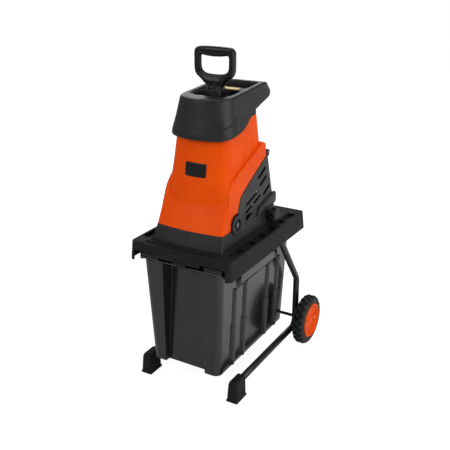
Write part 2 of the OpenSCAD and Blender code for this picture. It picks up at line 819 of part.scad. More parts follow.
// Dished cap with a rolled edge and a raised boss with two flats
module hub_cap(s) {
    r = hub_cap_d / 2;
    face = cap_face_x - wheel_in_x - wheel_w / 2;
    color(orange) in_frame() wheel_place(s * (wheel_in_x + wheel_w / 2), s) {
        rotate_extrude() polygon([[0, face - 5], [13, face - 5], [16, face - 8], [r - 16, face - 9.5],
            [r - 9, face - 4], [r - 6, face], [r - 2, face], [r, face - 2], [r, face - 4 + seat_gap],
            [r - 4, face - 4 + seat_gap], [r - 5, face - 7], [r - 6.5, face - 7], [r - 8, face - 6],
            [r - 15, face - 12], [16, face - 10.5], [11, face - 8], [0, face - 8]]);
        for (a = [0, 180]) rotate([0, 0, a]) translate([-7, 14, face - 9]) cube([14, r - 28, 5]);
    }
}

module hub_cap_left() {
    hub_cap(-1);
}

module hub_cap_right() {
    hub_cap(1);
}

// Recess between the bin's front columns, grown by the wall for the inside
module bin_step(grow) {
    y_top = bin_front + bin_step_top + grow;
    y_low = bin_low_front + bin_step_low + grow;
    x_top = 64 + grow;
    x_low = 68 + grow;
    polyhedron(
        points = [[-x_low, -20, bin_z - 1], [x_low, -20, bin_z - 1],
            [x_low - 3, y_low, bin_z - 1], [3 - x_low, y_low, bin_z - 1],
            [-x_top, -20, rim_z + 1], [x_top, -20, rim_z + 1],
            [x_top - 9, y_top, rim_z + 1], [9 - x_top, y_top, rim_z + 1]],
        faces = [[0, 1, 2, 3], [7, 6, 5, 4], [0, 4, 5, 1], [1, 5, 6, 2], [2, 6, 7, 3], [3, 7, 4, 0]]);
}

module lift_ledge(s) {
    hull() for (q = [[lift_z, 100, -6, 1], [lift_z + 18, 110, 7, 20], [lift_z + 52, 116, 4, 1]])
        translate([s > 0 ? bin_top_x - 12 : -bin_top_x - q[2], q[1], q[0]])
            cube([12 + q[2], 2 * (lift_mid_y - q[1]), q[3]]);
}

module collecting_bin() {
    lean = atan((bin_top_x - bin_low_x) / (rim_z - bin_z));
    color(black) in_frame() difference() {
        union() {
            difference() {
                union() {
                    loft(bin_plan);
                    // Half-round ribs down each side, stepped at mid height
                    for (s = sides, y = rib_y)
                        translate([s * bin_low_x, y, bin_z + 8]) rotate([0, s * lean, 0]) {
                            cylinder(r = rib_low_r, h = rib_step);
                            translate([0, 0, rib_step])
                                cylinder(r = rib_top_r, h = lift_z - bin_z - rib_step);
                        }
                    // Lift ledge under the rim on each side
                    for (s = sides) lift_ledge(s);
                }
                bin_step(0);
            }
            // Rim flange that hangs on the deck's runners
            translate([0, 0, rim_z]) linear_extrude(rim_t) difference() {
                translate([-rim_x, bin_front - 1]) square([2 * rim_x, bin_back - bin_front + 3]);
                translate([bin_t - bin_top_x, rim_hole_y])
                    square([2 * (bin_top_x - bin_t), bin_back - bin_t - rim_hole_y]);
            }
            for (s = sides) translate([s > 0 ? apron_x + 6 : -rim_x + 4, bin_front - 1, rim_z + rim_t - 1])
                bin_grip(rim_x - apron_x - 10);
        }
        difference() {
            loft([[bin_z + bin_t, bin_low_x + 1, bin_low_front - 1, bin_back - 7, 0, 22, 18],
                [rim_z + 0.01, bin_top_x, bin_front, bin_back, 0, 20, 18]], bin_t);
            bin_step(bin_t);
        }
    }
}

// Ribbed grip: an upright with three finger ridges
module bin_grip(w) {
    translate([0, 6, 0]) cube([w, 12, grip_h - 2]);
    for (i = [0:2]) translate([0, 0, 1.5 + i * 5.2]) cube([w, 8, 2.6]);
}

module bin_latch() {
    color(black) in_frame() {
        difference() {
            translate([-latch_w / 2, -latch_out, deck_z - apron_h - 8])
                cube([latch_w, skirt_t + 4, apron_h - 2]);
            // Finger scoop
            rod_x(-15, 30, 12, -11, deck_z - apron_h + 2);
        }
        translate([-latch_w / 2 - 6, skirt_t + slide_gap + 1.3, deck_z - apron_h - 2])
            cube([latch_w + 12, latch_bar_t, apron_h - 12]);
    }
}

module lug_bolts() {
    color(steel) in_frame() for (s = sides) {
        rod_x(s > 0 ? hood_x - 6 : -hood_x - 6, 12, lug_bolt_r, lug_y, lug_z);
        rod_x(s > 0 ? hood_x + 1 + seat_gap : -hood_x - 6, 5 - seat_gap, 7.5, lug_y, lug_z);
    }
}

// Lobed hand knob on a threaded spindle through the base's side wall
module locking_knob() {
    color(black) in_frame() translate([base_x + 1, knob_y, knob_z]) rotate([0, 90, 0]) difference() {
        union() {
            cylinder(r = knob_d / 2 - lobe_r, h = knob_l - 2);
            translate([0, 0, knob_l - 2.01])
                cylinder(r1 = knob_d / 2 - lobe_r - 1, r2 = knob_d / 2 - lobe_r - 5, h = 2);
            for (i = [0:knob_lobes - 1]) rotate([0, 0, 360 / knob_lobes * i])
                translate([knob_d / 2 - lobe_r, 0, 4]) cylinder(r = lobe_r, h = knob_l - 8);
        }
        translate([0, 0, -1]) cylinder(r = spindle_r + run_gap, h = 12);
    }
}

module knob_spindle() {
    color(steel) in_frame() rod_x(base_x - 17, 27, spindle_r, knob_y, knob_z);
}

module interlock_switch() {
    color(black) in_frame() {
        translate([base_x - 30, knob_y - 12, deck_z]) cube([10, 24, knob_z - deck_z + 10]);
        rod_x(base_x - 21, 3.6, 3, knob_y, knob_z);
    }
}

module upper_housing() {
    color(orange) in_frame() difference() {
        union() {
            difference() {
                union() {
                    intersection() {
                        loft(hood_plan);
                        slab_x(far) hood_side(0);
                    }
                    loft([each tower_plan, moved(tower_plan[2], tower_top_z + 2)]);
                }
                intersection() {
                    loft([[base_top_z - 20, hood_x, base_front + 16, hood_back, 9, 8, 6],
                        each [for (i = [1:3]) hood_plan[i]]], shell_t);
                    slab_x(far) hood_side(shell_t);
                }
                loft([moved(tower_plan[0], deck_z + 97), tower_plan[1], tower_plan[2],
                    moved(tower_plan[2], tower_top_z + 3)], shell_t);
                translate([-far, 0, tower_top_z]) cube([2 * far, 400, 20]);
                // Everything under the parting line
                slab_x(far) polygon(concat(
                    [[lug_y - 20, base_top_z - 30], [lug_y - 18, base_top_z]],
                    [for (p = part_line) [p[0], deck_z + p[1]]],
                    [[400, hinge_z - 4], [400, base_top_z - 30]]));
            }
            for (s = sides) {
                x0 = (s > 0 ? hinge_ear_x[1] : -hinge_ear2_x[0]) + slide_gap;
                w = hinge_ear2_x[0] - hinge_ear_x[1] - 2 * slide_gap;
                rod_x(x0, w, hinge_r, hinge_y, hinge_z);
                translate([x0, hood_back - 4, hinge_z + 1]) cube([w, hinge_y - hood_back + 4, 6]);
            }
        }
        for (s = sides) rod_x(s > 0 ? hood_x - 20 : -hood_x - 20, 40, lug_r + part_gap, lug_y, lug_z);
        rod_x(-120, 240, hinge_pin_d / 2 + run_gap, hinge_y, hinge_z);
    }
}

module hinge_pins() {
    len = hinge_ear2_x[1] - hinge_ear_x[0];
    color(steel) in_frame() for (s = sides)
        rod_x(s > 0 ? hinge_ear_x[0] : -hinge_ear2_x[1], len, hinge_pin_d / 2, hinge_y, hinge_z);
}

module feed_hopper() {
    feed_back = feed_y + feed_d;
    hole_y = [feed_back + 34, feed_back + 62];
    color(satin) in_frame() difference() {
        union() {
            difference() {
                intersection() {
                    loft(hopper_plan);
                    slab_x(far) hopper_side();
                }
                intersection() {
                    loft([[deck_z + 240, tower_top_x + 24, base_front + 57, 374, 17, 34, 10],
                        each [for (i = [1:5]) hopper_plan[i]]], hopper_t);
                    slab_x(far) hopper_side_inner();
                }
            }
            intersection() {
                loft(hopper_plan);
                slab_x(far) hopper_side();
                union() {
                    // Recessed floor, the ledge that rests on the tower, and the walls of the hand hole
                    translate([-120, feed_y - 12, floor_z - floor_t])
                        cube([240, hole_y[1] - feed_y + 10, floor_t]);
                    translate([-120, 60, tower_top_z + seat_gap]) cube([240, 222, 4]);
                    translate([-feed_w / 2 - 8, feed_y - 12, floor_z - floor_t])
                        cube([feed_w + 16, hole_y[1] - feed_y + 20, 60]);
                    translate([-hand_hole_w / 2 - 4, hole_y[0] - 4, deck_z + 350])
                        cube([hand_hole_w + 8, hole_y[1] - hole_y[0] + 8, 60]);
                }
            }
        }
        // Room for the tower's top
        loft(tower_plan, -2 * seat_gap);
        // Recess in the top, feed opening and hand hole
        translate([0, 0, floor_z]) linear_extrude(60)
            polygon([for (p = plan([0, feed_w / 2 + 4, feed_y - 4, hole_y[1], 0, 26, 8], 0)) [p[0], p[1]]]);
        translate([0, 0, floor_z - 20]) linear_extrude(60)
            polygon([for (p = plan([0, feed_w / 2, feed_y, feed_back, 0, 24, 24], 0)) [p[0], p[1]]]);
        translate([-hand_hole_w / 2, hole_y[0], deck_z + 330])
            cube([hand_hole_w, hole_y[1] - hole_y[0], 120]);
        // Groove round the front panel
        difference() {
            slab_x(far) polygon(concat(
                [for (p = groove_line) [p[0], deck_z + p[1]]],
                [for (i = [len(groove_line) - 1:-1:0])
                    [groove_line[i][0] + groove_w, deck_z + groove_line[i][1] - groove_w]]));
            loft(hopper_plan, groove_deep);
        }
        // Passage of the chute through the ledge
        translate([-feed_w / 2 - chute_t - seat_gap, feed_y - 8, tower_top_z - 1])
            cube([feed_w + 2 * (chute_t + seat_gap), chute_back + chute_t + 2 * seat_gap - feed_y + 8, 8]);
    }
}

// Feed chute's skin: from the hopper's floor down and forward to the blade disc
module chute_skin(grow, past) {
    stations = [
        [chute_low_z - past, out_x, out_front, out_back],
        [chute_knee_z, feed_w / 2 - 4, feed_y - 6, chute_back - 2],
        [floor_z - 16, feed_w / 2 - 1, feed_y - 1, chute_back],
        [floor_z - floor_t - seat_gap + past, feed_w / 2, feed_y, feed_y + feed_d]];
    skin([for (s = stations) corners(s, grow)]);
}

module feed_chute() {
    color(black) in_frame() difference() {
        union() {
            chute_skin(chute_t, 0);
            // Flange that covers the front of the blade disc
            translate([-hood_x + 14, out_front - 8, chute_low_z])
                cube([2 * hood_x - 28, out_back - out_front + 40, 3]);
            // Collar that rests on the hopper's ledge
            translate([-feed_w / 2 - 7, feed_y - 11, tower_top_z + 4 + 2 * seat_gap])
                cube([feed_w + 14, chute_back + chute_t + 2 - feed_y + 11, 3]);
        }
        chute_skin(0, 1);
    }
}

module counter_blade() {
    color(steel) in_frame() translate([-out_x + 4, out_back + chute_t + 1, chute_low_z - 3])
        cube([2 * out_x - 8, 22, 3]);
}

// Pusher: D-shaped grip, waisted neck with flutes, square stem
module plunger() {
    y0 = feed_y + slide_gap + stem_d / 2;
    half = grip_w / 2;
    neck_z = feed_top_z + 38;
    color(black) in_frame() difference() {
        union() {
            slab_y(y0 - loop_half_t, 2 * loop_half_t) difference() {
                plunger_face(half, neck_z);
                plunger_window(half, neck_z);
            }
            translate([0, y0, 0]) plunger_bar(half);
            // Square stem drawn in to the neck
            skin([for (s = [
                [stem_low_z, stem_w / 2, y0 - stem_d / 2, y0 + stem_d / 2],
                [feed_top_z, stem_w / 2, y0 - stem_d / 2, y0 + stem_d / 2],
                [feed_top_z + 15, stem_w / 2 - 2, y0 - 20, y0 + 20],
                [neck_z - 3, stem_w / 2 - 4, y0 - loop_half_t, y0 + loop_half_t]]) corners(s, 0)]);
            // Drop-shaped bosses in the middle of the neck's four sides
            for (s = sides) {
                translate([0, y0 + s * 24, feed_top_z - 6]) rotate([s * 17, 0, 0])
                    cylinder(r1 = drop_r, r2 = drop_tip_r, h = 40);
                translate([s * (stem_w / 2 - 4.5), y0, feed_top_z - 20])
                    cylinder(r1 = drop_r, r2 = drop_tip_r, h = 50);
            }
        }
        // Hollow stem, open below
        translate([-stem_w / 2 + stem_t, y0 - stem_d / 2 + stem_t, stem_low_z - 1])
            cube([stem_w - 2 * stem_t, stem_d - 2 * stem_t, feed_top_z - stem_low_z - 6]);
    }
}

// Front outline of the grip loop
module plunger_face(half, neck_z) {
    polygon(concat(
        [[-stem_w / 2 + 4, neck_z - 12], [stem_w / 2 - 4, neck_z - 12], [stem_w / 2 + 2, neck_z - 4]],
        bend(half - 18, neck_z + 24, 18, -45, 0, 4),
        bend(half - 16, grip_top_z - 17, 16, 0, 90, 4),
        bend(-half + 16, grip_top_z - 17, 16, 90, 180, 4),
        bend(-half + 18, neck_z + 24, 18, 180, 225, 4),
        [[-stem_w / 2 - 2, neck_z - 4]]));
}

// Finger opening of the grip, with a dished lower edge
module plunger_window(half, neck_z) {
    in_x = half - 22;
    low = neck_z + 12;
    polygon(concat(
        [for (i = [-4:4]) [in_x * 0.9 * i / 4, low + 16 * pow(i / 4, 2)]],
        [[in_x, low + 24], [in_x, grip_top_z - 29], [in_x - 6, grip_top_z - 23],
         [6 - in_x, grip_top_z - 23], [-in_x, grip_top_z - 29], [-in_x, low + 24]]));
}

// Rounded grip bar, thicker than the loop
module plunger_bar(half) {
    translate([0, 0, grip_top_z - bar_r]) rotate([0, 90, 0]) translate([0, 0, -half + 20])
        cylinder(r = bar_r, h = 2 * half - 40);
}

// Drive

module drive_plate() {
    color(steel) in_frame() difference() {
        union() {
            translate([0, disc_y, deck_z]) cylinder(r = 34, h = plate2_t);
            translate([-30, disc_y, deck_z]) cube([60, 100, plate2_t]);
            translate([-58, 242, deck_z]) cube([116, 104, plate2_t]);
            translate([0, disc_y, boss_low_z]) cylinder(d = bearing_od + 14, h = drive_z - boss_low_z);
        }
        translate([0, disc_y, boss_low_z + 2]) cylinder(d = bearing_od + 2 * run_gap, h = 60);
        translate([0, disc_y, boss_low_z - 1]) cylinder(d = bearing_od - 6, h = 60);
        translate([0, motor_y, deck_z - 1]) cylinder(d = motor_shaft_d + 6, h = plate2_t + 2);
        for (p = plate_bolts)
            translate([p[0], p[1], deck_z - 1]) cylinder(r = screw_r + run_gap, h = plate2_t + 2);
    }
}

module drive_plate_bolts() {
    color(steel) in_frame() for (p = plate_bolts)
        translate([p[0], p[1], plate_z - seat_gap - plate_bolt_head_h]) {
            cylinder(r = bolt_head_r, h = plate_bolt_head_h, $fn = 6);
            cylinder(r = screw_r, h = plate_t + plate2_t + plate_bolt_head_h);
        }
}

module ring(od, id, h) {
    difference() {
        cylinder(d = od, h = h);
        translate([0, 0, -1]) cylinder(d = id, h = h + 2);
    }
}

module blade_bearings() {
    color(steel) in_frame() for (z = [boss_low_z + 2 + seat_gap, drive_z - 1 - bearing_w])
        translate([0, disc_y, z]) ring(bearing_od, blade_shaft_d + 2 * run_gap, bearing_w);
}

module blade_shaft() {
    color(steel) in_frame() translate([0, disc_y, 0]) {
        translate([0, 0, boss_low_z + 1])
            cylinder(d = blade_shaft_d, h = disc_z + disc_t + 4 - boss_low_z - 1);
        translate([0, 0, belt_z + belt_h + seat_gap]) cylinder(d = blade_shaft_d + 14, h = 3 - 2 * seat_gap);
    }
}

// V-grooved belt pulley with a web
module pulley(d, bore) {
    difference() {
        union() {
            cylinder(d = d - belt_t * 2, h = belt_h);
            cylinder(d = d, h = pulley_lip);
            translate([0, 0, belt_h - pulley_lip]) cylinder(d = d, h = pulley_lip);
        }
        translate([0, 0, -1]) cylinder(d = bore + 2 * run_gap, h = belt_h + 2);
    }
}

module blade_pulley() {
    color(steel) in_frame() translate([0, disc_y, belt_z]) pulley(big_pulley_d, blade_shaft_d);
}

module motor_pulley() {
    color(steel) in_frame() translate([0, motor_y, belt_z]) pulley(small_pulley_d, motor_shaft_d);
}

// Belt outline round the two pulleys: long arc on the blade pulley, short arc on the motor pulley
function belt_loop(r1, r2) = let (a = asin((r1 - r2) / (motor_y - disc_y)))
    concat(
        [for (i = [0:28]) let (t = a - i / 28 * (180 + 2 * a)) [r1 * cos(t), disc_y + r1 * sin(t)]],
        [for (i = [0:14]) let (t = 180 - a - i / 14 * (180 - 2 * a)) [r2 * cos(t), motor_y + r2 * sin(t)]]);

module drive_belt() {
    r1 = big_pulley_d / 2 - belt_t + slide_gap;
    r2 = small_pulley_d / 2 - belt_t + slide_gap;
    color(black) in_frame() translate([0, 0, belt_z + pulley_lip + slide_gap])
        linear_extrude(belt_h - 2 * (pulley_lip + slide_gap)) difference() {
            polygon(belt_loop(r1 + belt_t - slide_gap, r2 + belt_t - slide_gap));
            polygon(belt_loop(r1, r2));
        }
}

module knife_place() {
    for (a = [20, 200]) translate([0, disc_y, disc_z + disc_t]) rotate([0, 0, a]) children();
}

module blade_disc() {
    color(steel) in_frame() difference() {
        translate([0, disc_y, disc_z]) cylinder(d = disc_d, h = disc_t);
        translate([0, disc_y, disc_z - 1]) cylinder(d = blade_shaft_d + 2 * run_gap, h = disc_t + 2);
        // Chip slot in front of each knife, and the knives' bolt holes
        knife_place() translate([knife_in, knife_edge_y - 3, -disc_t - 1])
            cube([knife_out - knife_in, 12, disc_t + 2]);
        knife_place() for (x = knife_bolt_x)
            translate([x, 0, -disc_t - 1]) cylinder(r = screw_r + run_gap, h = disc_t + 2);
    }
}

// Two ground knives, bevelled towards the chip slot
module knives() {
    color(steel) in_frame() knife_place() difference() {
        translate([knife_in, 0, 0]) rotate([90, 0, 90]) linear_extrude(knife_out - knife_in)
            polygon([[-12, 0], [knife_edge_y, 0], [knife_edge_y, 0.8],
                [knife_edge_y - 7, knife_t], [-12, knife_t]]);
        for (x = knife_bolt_x) translate([x, 0, -1]) cylinder(r = screw_r + run_gap, h = knife_t + 2);
    }
}

module knife_bolts() {
    color(steel) in_frame() knife_place() for (x = knife_bolt_x) translate([x, 0, -disc_t]) {
        translate([0, 0, -bolt_head_h - seat_gap]) {
            cylinder(r = screw_r, h = bolt_head_h + seat_gap + disc_t + knife_t);
            cylinder(r = bolt_head_r, h = bolt_head_h, $fn = 6);
        }
    }
}

module disc_nut() {
    color(steel) in_frame() translate([0, disc_y, disc_z + disc_t + seat_gap]) difference() {
        cylinder(r = disc_nut_r, h = 5, $fn = 6);
        translate([0, 0, -1]) cylinder(d = blade_shaft_d + 2 * run_gap, h = 10);
    }
}

module motor_bracket() {
    color(steel) in_frame() difference() {
        union() {
            translate([-54, 252, bracket_z]) cube([108, 88, bracket_t]);
            for (p = post_at) translate([p[0], p[1], drive_z]) cylinder(r = 6, h = bracket_z - drive_z + 1);
        }
        translate([0, motor_y, bracket_z - 1])
            cylinder(d = motor_bearing_od + 2 * run_gap, h = bracket_t + 2);
        for (p = post_at) translate([p[0], p[1], bracket_z]) cylinder(r = can_bolt_r + run_gap, h = 20);
    }
}

module motor_can() {
    color(satin) in_frame() translate([0, motor_y, can_z]) difference() {
        union() {
            cylinder(d = motor_d, h = motor_l);
            for (p = post_at) translate([p[0], p[1] - motor_y, 0]) cylinder(r = 8, h = can_ear_h);
        }
        translate([0, 0, -1]) cylinder(d = motor_d - 2 * can_t, h = motor_l + 2);
        for (i = [0:7]) rotate([0, 0, 45 * i + 22.5]) translate([motor_d / 2 - 8, -6, 12]) cube([16, 12, 14]);
        for (p = post_at) translate([p[0], p[1] - motor_y, -1]) cylinder(r = can_bolt_r + run_gap, h = 20);
    }
}

module motor_bolts() {
    color(steel) in_frame() for (p = post_at) translate([p[0], p[1], can_z - bracket_t]) {
        cylinder(r = can_bolt_r, h = bracket_t + can_ear_h + seat_gap);
        translate([0, 0, bracket_t + can_ear_h + seat_gap]) cylinder(r = can_bolt_r + 2, h = 3.5);
    }
}

module field_stack() {
    color(copper) in_frame() translate([0, motor_y, stack_z])
        ring(motor_d - 2 * can_t - 2 * seat_gap, armature_d + 2 * rotor_gap, stack_l);
}

module armature() {
    color(copper) in_frame() translate([0, motor_y, stack_z]) difference() {
        cylinder(d = armature_d, h = stack_l);
        translate([0, 0, -1]) cylinder(d = motor_shaft_d + 2 * run_gap, h = stack_l + 2);
        for (i = [0:11]) rotate([0, 0, 30 * i])
            translate([armature_d / 2 - 5, -1.2, -1]) cube([8, 2.4, stack_l + 2]);
    }
}

module motor_shaft() {
    color(steel) in_frame() translate([0, motor_y, deck_z + 2])
        cylinder(d = motor_shaft_d, h = can_top_z + bell_h - 4 - deck_z - 2);
}

module motor_end_bell() {
    color(satin) in_frame() translate([0, motor_y, can_top_z + seat_gap]) difference() {
        union() {
            cylinder(d = motor_d, h = 4);
            cylinder(d = motor_bearing_od + 8, h = bell_h);
        }
        translate([0, 0, -1]) cylinder(d = motor_bearing_od + 2 * run_gap, h = bell_h - 1);
        for (i = [0:5]) rotate([0, 0, 60 * i])
            translate([motor_bearing_od / 2 + 7, -5, -1]) cube([12, 10, 8]);
    }
}

module motor_bearings() {
    color(steel) in_frame() {
        bore = motor_shaft_d + 2 * run_gap;
        translate([0, motor_y, bracket_z]) ring(motor_bearing_od, bore, bracket_t);
        translate([0, motor_y, can_top_z + seat_gap]) ring(motor_bearing_od, bore, motor_bearing_w);
    }
}

module commutator() {
    color(copper) in_frame() translate([0, motor_y, stack_z + stack_l + 2]) difference() {
        cylinder(d = commutator_d, h = 14);
        translate([0, 0, -1]) cylinder(d = motor_shaft_d + 2 * run_gap, h = 16);
    }
}

module brush_holders() {
    in_x = commutator_d / 2 + slide_gap;
    out_x = sqrt(pow(motor_d / 2 - can_t - seat_gap, 2) - pow(brush_w / 2, 2));
    color(black) in_frame() for (s = sides)
        translate([s > 0 ? in_x : -out_x, motor_y - brush_w / 2, stack_z + stack_l + 4])
            cube([out_x - in_x, brush_w, 9]);
}

module cooling_fan() {
    color(black) in_frame() translate([0, motor_y, can_z + 10]) difference() {
        union() {
            cylinder(d = motor_shaft_d + 12, h = 16);
            cylinder(d = motor_d - 2 * can_t - 6, h = 2.5);
            for (i = [0:8]) rotate([0, 0, 40 * i]) translate([motor_shaft_d / 2 + 4, -1, 1])
                cube([motor_d / 2 - can_t - motor_shaft_d / 2 - 8, 2, 14]);
        }
        translate([0, 0, -1]) cylinder(d = motor_shaft_d + 2 * run_gap, h = 30);
    }
}

// Controls

module switch_box() {
    color(orange) in_frame() difference() {
        slab_x(box_x) polygon([[330, box_top_z - 2], [box_y[0] + 2, box_top_z], [box_y[1] - 3, box_top_z],
            [box_y[1], box_top_z - 2], [box_y[2], box_mid_z], [box_y[2], box_low_z + 12],
            [box_y[2] - 8, box_low_z], [330, box_low_z - 30]]);
        // Front of the box follows the motor cover's rear wall, with room for the hinge
        intersection() {
            loft(cover_plan, -seat_gap);
            translate([-far, 0, 0]) cube([2 * far, 500, cover_top_z + seat_gap]);
        }
        translate([-far, 300, cover_top_z - 1]) cube([2 * far, box_y[0] - 300, 100]);
        on_face() {
            for (s = sides) translate([s * 22, 0, -6]) cylinder(r = button_r + slide_gap, h = 20);
            translate([0, -10, -6]) cylinder(r = 5 + slide_gap, h = 20);
        }
        translate([0, box_y[2] - 14, box_mid_z - 21]) rotate([-90, 0, 0]) cylinder(r = 15 + seat_gap, h = 30);
    }
}

// Frame of the slanted rear face: Z out of the face, Y up the face
module on_face() {
    translate([0, (box_y[1] + box_y[2]) / 2, (box_top_z + box_mid_z) / 2 - 1])
        rotate([0, 0, 180]) rotate([90 - face_tilt, 0, 0]) children();
}

module push_button(r) {
    translate([0, 0, -6 + button_travel + slide_gap]) {
        cylinder(r = r, h = 6);
        translate([0, 0, 6]) cylinder(r1 = r, r2 = r - 1.2, h = 1.2);
    }
}

module start_button() {
    color([0.1, 0.6, 0.2]) in_frame() on_face() translate([-22, 0, 0]) push_button(button_r);
}

module stop_button() {
    color([0.8, 0.08, 0.06]) in_frame() on_face() translate([22, 0, 0]) push_button(button_r);
}

module reset_button() {
    color(black) in_frame() on_face() translate([0, -10, 0]) push_button(5);
}

// Recessed mains inlet with two flat pins
module power_inlet() {
    color(black) in_frame() translate([0, box_y[2] - 14 + seat_gap, box_mid_z - 21]) rotate([-90, 0, 0]) {
        difference() {
            cylinder(r = 15, h = 14);
            translate([0, 0, 3]) cylinder(r = 12.5, h = 20);
        }
        for (s = sides) translate([s * 5 - 2.5, -1, 2]) cube([5, 2, 10]);
    }
}

deck();
base_housing();
motor_cover();
frame_tube_left();
frame_tube_right();
frame_screws();
axle();
axle_spacers();
axle_nuts();
foot_left();
foot_right();
tyre_left();
wheel_rim_left();
hub_cap_left();
tyre_right();
wheel_rim_right();
hub_cap_right();
collecting_bin();
bin_latch();
locking_knob();
knob_spindle();
interlock_switch();
lug_bolts();
upper_housing();
feed_hopper();
feed_chute();
counter_blade();
hinge_pins();
plunger();
drive_plate();
drive_plate_bolts();
blade_bearings();
blade_shaft();
blade_pulley();
drive_belt();
blade_disc();
knives();
knife_bolts();
disc_nut();
motor_bracket();
motor_can();
field_stack();
motor_end_bell();
motor_bearings();
brush_holders();
armature();
motor_shaft();
commutator();
cooling_fan();
motor_pulley();
motor_bolts();
switch_box();
start_button();
stop_button();
reset_button();
power_inlet();
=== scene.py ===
"""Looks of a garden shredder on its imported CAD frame: orange hood, black hopper, bin and wheeled stand."""

import json
import math

import bmesh
import bpy
from mathutils import Matrix, Vector

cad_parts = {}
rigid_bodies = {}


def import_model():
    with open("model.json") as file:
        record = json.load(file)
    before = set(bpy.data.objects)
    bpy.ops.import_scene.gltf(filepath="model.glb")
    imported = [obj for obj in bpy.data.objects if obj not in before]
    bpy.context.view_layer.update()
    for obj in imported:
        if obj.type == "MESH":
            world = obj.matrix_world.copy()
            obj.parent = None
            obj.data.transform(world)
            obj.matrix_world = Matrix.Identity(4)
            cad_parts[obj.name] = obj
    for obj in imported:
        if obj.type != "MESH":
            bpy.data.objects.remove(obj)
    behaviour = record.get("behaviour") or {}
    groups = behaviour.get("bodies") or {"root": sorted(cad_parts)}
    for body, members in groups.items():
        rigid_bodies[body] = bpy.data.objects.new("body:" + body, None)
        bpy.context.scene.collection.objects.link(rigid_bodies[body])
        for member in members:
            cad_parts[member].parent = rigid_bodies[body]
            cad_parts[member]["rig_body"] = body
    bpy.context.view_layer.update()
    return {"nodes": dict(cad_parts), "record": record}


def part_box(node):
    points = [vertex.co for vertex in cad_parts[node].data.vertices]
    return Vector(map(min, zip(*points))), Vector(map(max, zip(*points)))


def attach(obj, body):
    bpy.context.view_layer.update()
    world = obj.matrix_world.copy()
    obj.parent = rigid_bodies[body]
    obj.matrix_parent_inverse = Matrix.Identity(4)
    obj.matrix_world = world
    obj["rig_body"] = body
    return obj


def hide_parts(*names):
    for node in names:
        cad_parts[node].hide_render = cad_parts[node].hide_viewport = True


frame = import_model()

MM = 0.001
DECK_FLARE = 5  # how far the deck's skirt stands out at its lower edge
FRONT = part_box("deck")[0].y + DECK_FLARE * MM  # the deck's front top edge, from which depths are counted
SLOT_OF = {p["node"]: p["material_slot"] for p in frame["record"]["subparts"]}
BODY_OF = {n: o["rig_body"] for n, o in frame["nodes"].items()}


def at(x, y, z):
    """A point given in millimetres, with y counted back from the deck's front edge."""
    return Vector((x * MM, FRONT + y * MM, z * MM))


# Camera, light and floor, in metres

SOFTBOXES = [  # name, place, aim, width, height and watts
    ("right_softbox", (2.6, -0.4, 1.5), (0, 0, 0.5), 2.2, 2.0, 44),
    ("front_softbox", (-1.2, -2.6, 2.2), (0, 0, 0.6), 1.6, 1.6, 34),
    ("top_softbox", (0.2, 0.4, 2.9), (0, 0, 0.5), 1.6, 1.6, 16),
    ("rear_softbox", (-1.6, 2.2, 1.8), (0, 0, 0.6), 1.4, 1.4, 14)]
AMBIENT = 0.36  # the world's strength for diffuse rays
WORLD_FADE = (0.3, 1.6)  # X of a ray where the world is dimmest in reflections, and where brightest
FLOOR_FADE = (0, 0.6)  # X where the floor is dimmest in reflections, and where brightest
FLOOR_HALF, FLOOR_Z = 40, -0.0005
FLOOR_PALE = 0.8  # the floor's tone for diffuse rays
FLOOR_SHADED, FLOOR_GLOW = 0.36, 0.88  # its tone and its own light where it is seen


def photo_camera():
    """A camera at the photograph's viewing angle."""
    data = bpy.data.cameras.new("photo_camera")
    data.sensor_width = 36
    data.lens = 55.3
    data.clip_start, data.clip_end = 0.05, 200
    camera = bpy.data.objects.new("photo_camera", data)
    bpy.context.scene.collection.objects.link(camera)
    place = (0.9600, -1.6639, 1.1885)
    right = Vector((0.86441, 0.50279, 0))
    up = Vector((-0.18366, 0.31575, 0.93090))
    turn = Matrix((right, up, right.cross(up))).transposed().to_4x4()
    camera.matrix_world = Matrix.Translation(place) @ turn
    bpy.context.scene.camera = camera


def maths(tree, operation, first, second):
    """One step of arithmetic on two values, each a number or a node's output."""
    node = tree.nodes.new("ShaderNodeMath")
    node.operation = operation
    for socket, value in zip(node.inputs, (first, second)):
        if isinstance(value, (int, float)):
            socket.default_value = value
        else:
            tree.links.new(value, socket)
    return node.outputs[0]


def spread(tree, value, low, high, to_low, to_high):
    """A value's range from low to high, set out over another range and kept within it."""
    m = tree.nodes.new("ShaderNodeMapRange")
    m.inputs["From Min"].default_value = low
    m.inputs["From Max"].default_value = high
    m.inputs["To Min"].default_value = to_low
    m.inputs["To Max"].default_value = to_high
    tree.links.new(value, m.inputs["Value"])
    return m.outputs[0]


def seen_directly(tree, place, fade):
    """1 for camera and transmission rays, 0 for diffuse ones. For glossy rays it fades to 0 on the left,
    by place's X."""
    path = tree.nodes.new("ShaderNodeLightPath").outputs
    split = tree.nodes.new("ShaderNodeSeparateXYZ")
    tree.links.new(place, split.inputs[0])
    glossy = maths(tree, "MULTIPLY", path["Is Glossy Ray"], spread(tree, split.outputs["X"], *fade, 0, 1))
    seen = maths(tree, "MAXIMUM", path["Is Camera Ray"], glossy)
    return maths(tree, "MAXIMUM", seen, path["Is Transmission Ray"])


def studio_world():
    """A world that is white where it is seen and dimmer as a light."""
    world = bpy.data.worlds.new("studio")
    bpy.context.scene.world = world
    world.use_nodes = True
    tree = world.node_tree
    background = tree.nodes["Background"]
    background.inputs["Color"].default_value = (1, 1, 1, 1)
    seen = seen_directly(tree, tree.nodes.new("ShaderNodeTexCoord").outputs["Generated"], WORLD_FADE)
    tree.links.new(spread(tree, seen, 0, 1, AMBIENT, 1), background.inputs["Strength"])


